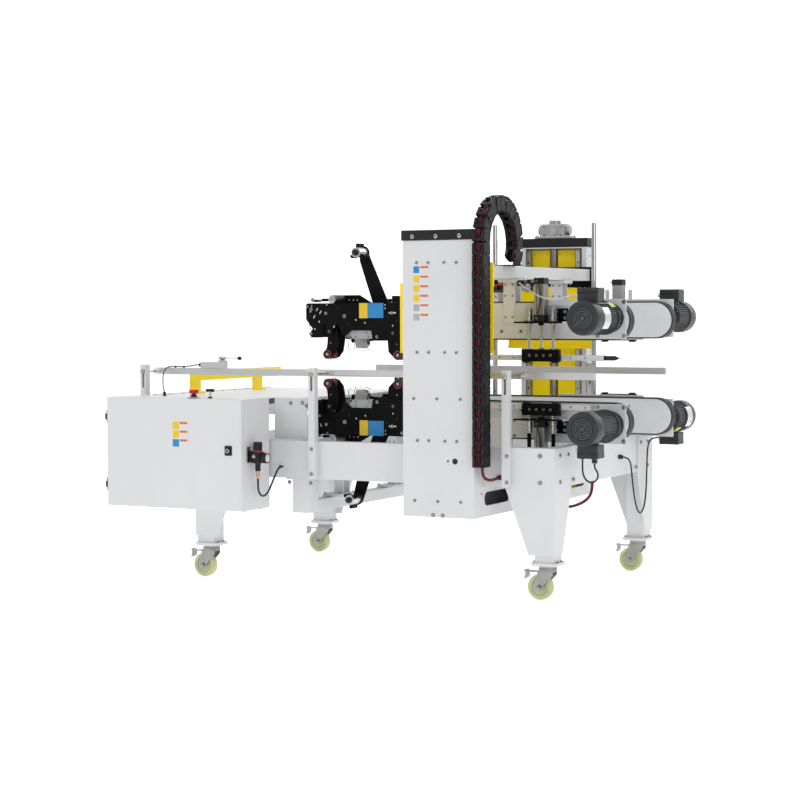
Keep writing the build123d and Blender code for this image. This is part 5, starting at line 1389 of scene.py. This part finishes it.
# casters: bolts through the foot's plate, ring of the swivel's bearing
for side, sy in (("near", -1), ("far", 1)):
    for end, cx in (("left", -726.0), ("right", 838.0)):
        cy_ = sy * 486.0
        k = Kit()
        for dx in (-(112.0 / 2 - 7.5), 112.0 / 2 - 7.5):
            for dy in (-20, 20):
                k.bolt("z", 1, cx + dx, cy_ + dy, 149.0, 5.6, 6.0, "hex", "zinc", False)
        k.make("foot_%s_%s_bolts" % (side, end), "root", "zinc")
        k = Kit()
        for z0, z1, r in ((118.5, 121.5, 36.5), (124, 127, 37.5)):
            k.ring("z", cx, cy_, 30, r, z0, z1, "forkzinc", 48, 0.9)
        k.box(cx - 34.8, cx + 30.8, cy_ - 23.8, cy_ + 23.8, 111.5, 113.0, "zinc", 0.4)
        k.make("swivel_%s_%s_rings" % (side, end), "fork_%s_%s" % (side, end), "zinc")

# width cylinder, valves and their tubes, on a carrier under the lifting beams
k = Kit()
k.box(299, 546, -36, 36, 1252.5, 1258.6, "black", 0.8)
for x in (308, 538):
    for y in (-24, 24):
        k.bolt("z", -1, x, y, 1252.5, 4.4, 3.4, "hex", "zinc", False)
k.cyl("y", 500, 1228, 15, -84, 84, "alu", 36, 1.0)
for a, b in ((-96, -80), (80, 96)):
    k.box(482, 518, a, b, 1210, 1246, "blackplastic", 1.6)
k.box(488, 512, -14, 14, 1240, 1253, "black", 1.0)
k.box(325, 430, -46, 46, 1206, 1238, "blackplastic", 1.6)
k.box(335, 420, -14, 14, 1236, 1253, "black", 1.0)
for j in range(5):
    x0 = 330 + 19.4 * j
    k.box(x0, x0 + 16, -58, -44, 1209, 1235, "gloss", 1.2)
    k.cyl("y", x0 + 8, 1215, 3.6, -58, -63, "brass", 16, 0.5)
    k.cyl("y", x0 + 8, 1229, 3.6, -58, -63, "brass", 16, 0.5)
    k.tube([(x0 + 8, -62, 1229), (x0 + 9, -74, 1231), (x0 + 24, -84, 1236), (446 + 5 * j, -86, 1240),
            (484, -88 + 2 * j, 1238)], 2.6, ("redplastic", "cable", "bluetube", "cable", "redplastic")[j], 8, 3)
    k.tube([(x0 + 8, -62, 1215), (x0 + 10, -78, 1212), (x0 + 30, -90, 1206), (452 + 5 * j, -88, 1214),
            (484, -86 + 2 * j, 1218)], 2.6, ("cable", "bluetube", "cable", "redplastic", "cable")[j], 8, 3)
k.make("valves_and_cylinder", "lift", "black_plastic")


# ------------------------------------------------------------- studio
def studio():
    me = bpy.data.meshes.new("floor")
    pts, faces = [], []
    prof = [(-9.0, 0.0), (4.0, 0.0)]
    for k in range(1, 13):
        a = math.pi / 2 * k / 12
        prof.append((4.0 + 2.0 * math.sin(a), 2.0 - 2.0 * math.cos(a)))
    prof.append((6.0, 9.0))
    d = Vector((fwd.x, fwd.y, 0)).normalized()
    s = Vector((right.x, right.y, 0)).normalized()
    for a, z in prof:
        for w in (-12, 12):
            pts.append(tuple(d * a + s * w + Vector((0, 0, z - 0.0006))))
    for i in range(len(prof) - 1):
        faces.append((2 * i, 2 * i + 1, 2 * i + 3, 2 * i + 2))
    me.from_pydata(pts, [], faces)
    for p in me.polygons:
        p.use_smooth = True
    m = bpy.data.materials.new("backdrop")
    m.use_nodes = True
    b = m.node_tree.nodes["Principled BSDF"]
    b.inputs["Base Color"].default_value = (0.93, 0.93, 0.93, 1)
    b.inputs["Roughness"].default_value = 0.75
    b.inputs["Specular IOR Level"].default_value = 0.2
    b.inputs["Emission Color"].default_value = (1, 1, 1, 1)
    b.inputs["Emission Strength"].default_value = 0.50
    me.materials.append(m)
    o = bpy.data.objects.new("floor", me)
    scene.collection.objects.link(o)


studio()


def area(name, place, target, size, power, size_y=None):
    d = bpy.data.lights.new(name, "AREA")
    d.shape = "RECTANGLE"
    d.size = size
    d.size_y = size_y or size
    d.energy = power
    o = bpy.data.objects.new(name, d)
    scene.collection.objects.link(o)
    o.location = place
    o.rotation_euler = (Vector(target) - Vector(place)).to_track_quat("-Z", "Y").to_euler()
    return o


area("key", (-3.2, -4.2, 4.2), (0, 0, 0.8), 3.2, 67)
area("fill", (5.2, -3.4, 3.0), (0, 0, 0.8), 3.6, 62)
area("top", (0.4, 0.4, 5.2), (0, 0, 0), 4.8, 62)
area("back", (2.0, 4.2, 3.6), (0, 0, 1.0), 3.2, 37)
world = bpy.data.worlds.new("studio")
scene.world = world
world.use_nodes = True
bg = world.node_tree.nodes["Background"]
bg.inputs["Color"].default_value = (1, 1, 1, 1)
bg.inputs["Strength"].default_value = 0.42
scene.view_settings.view_transform = "Standard"
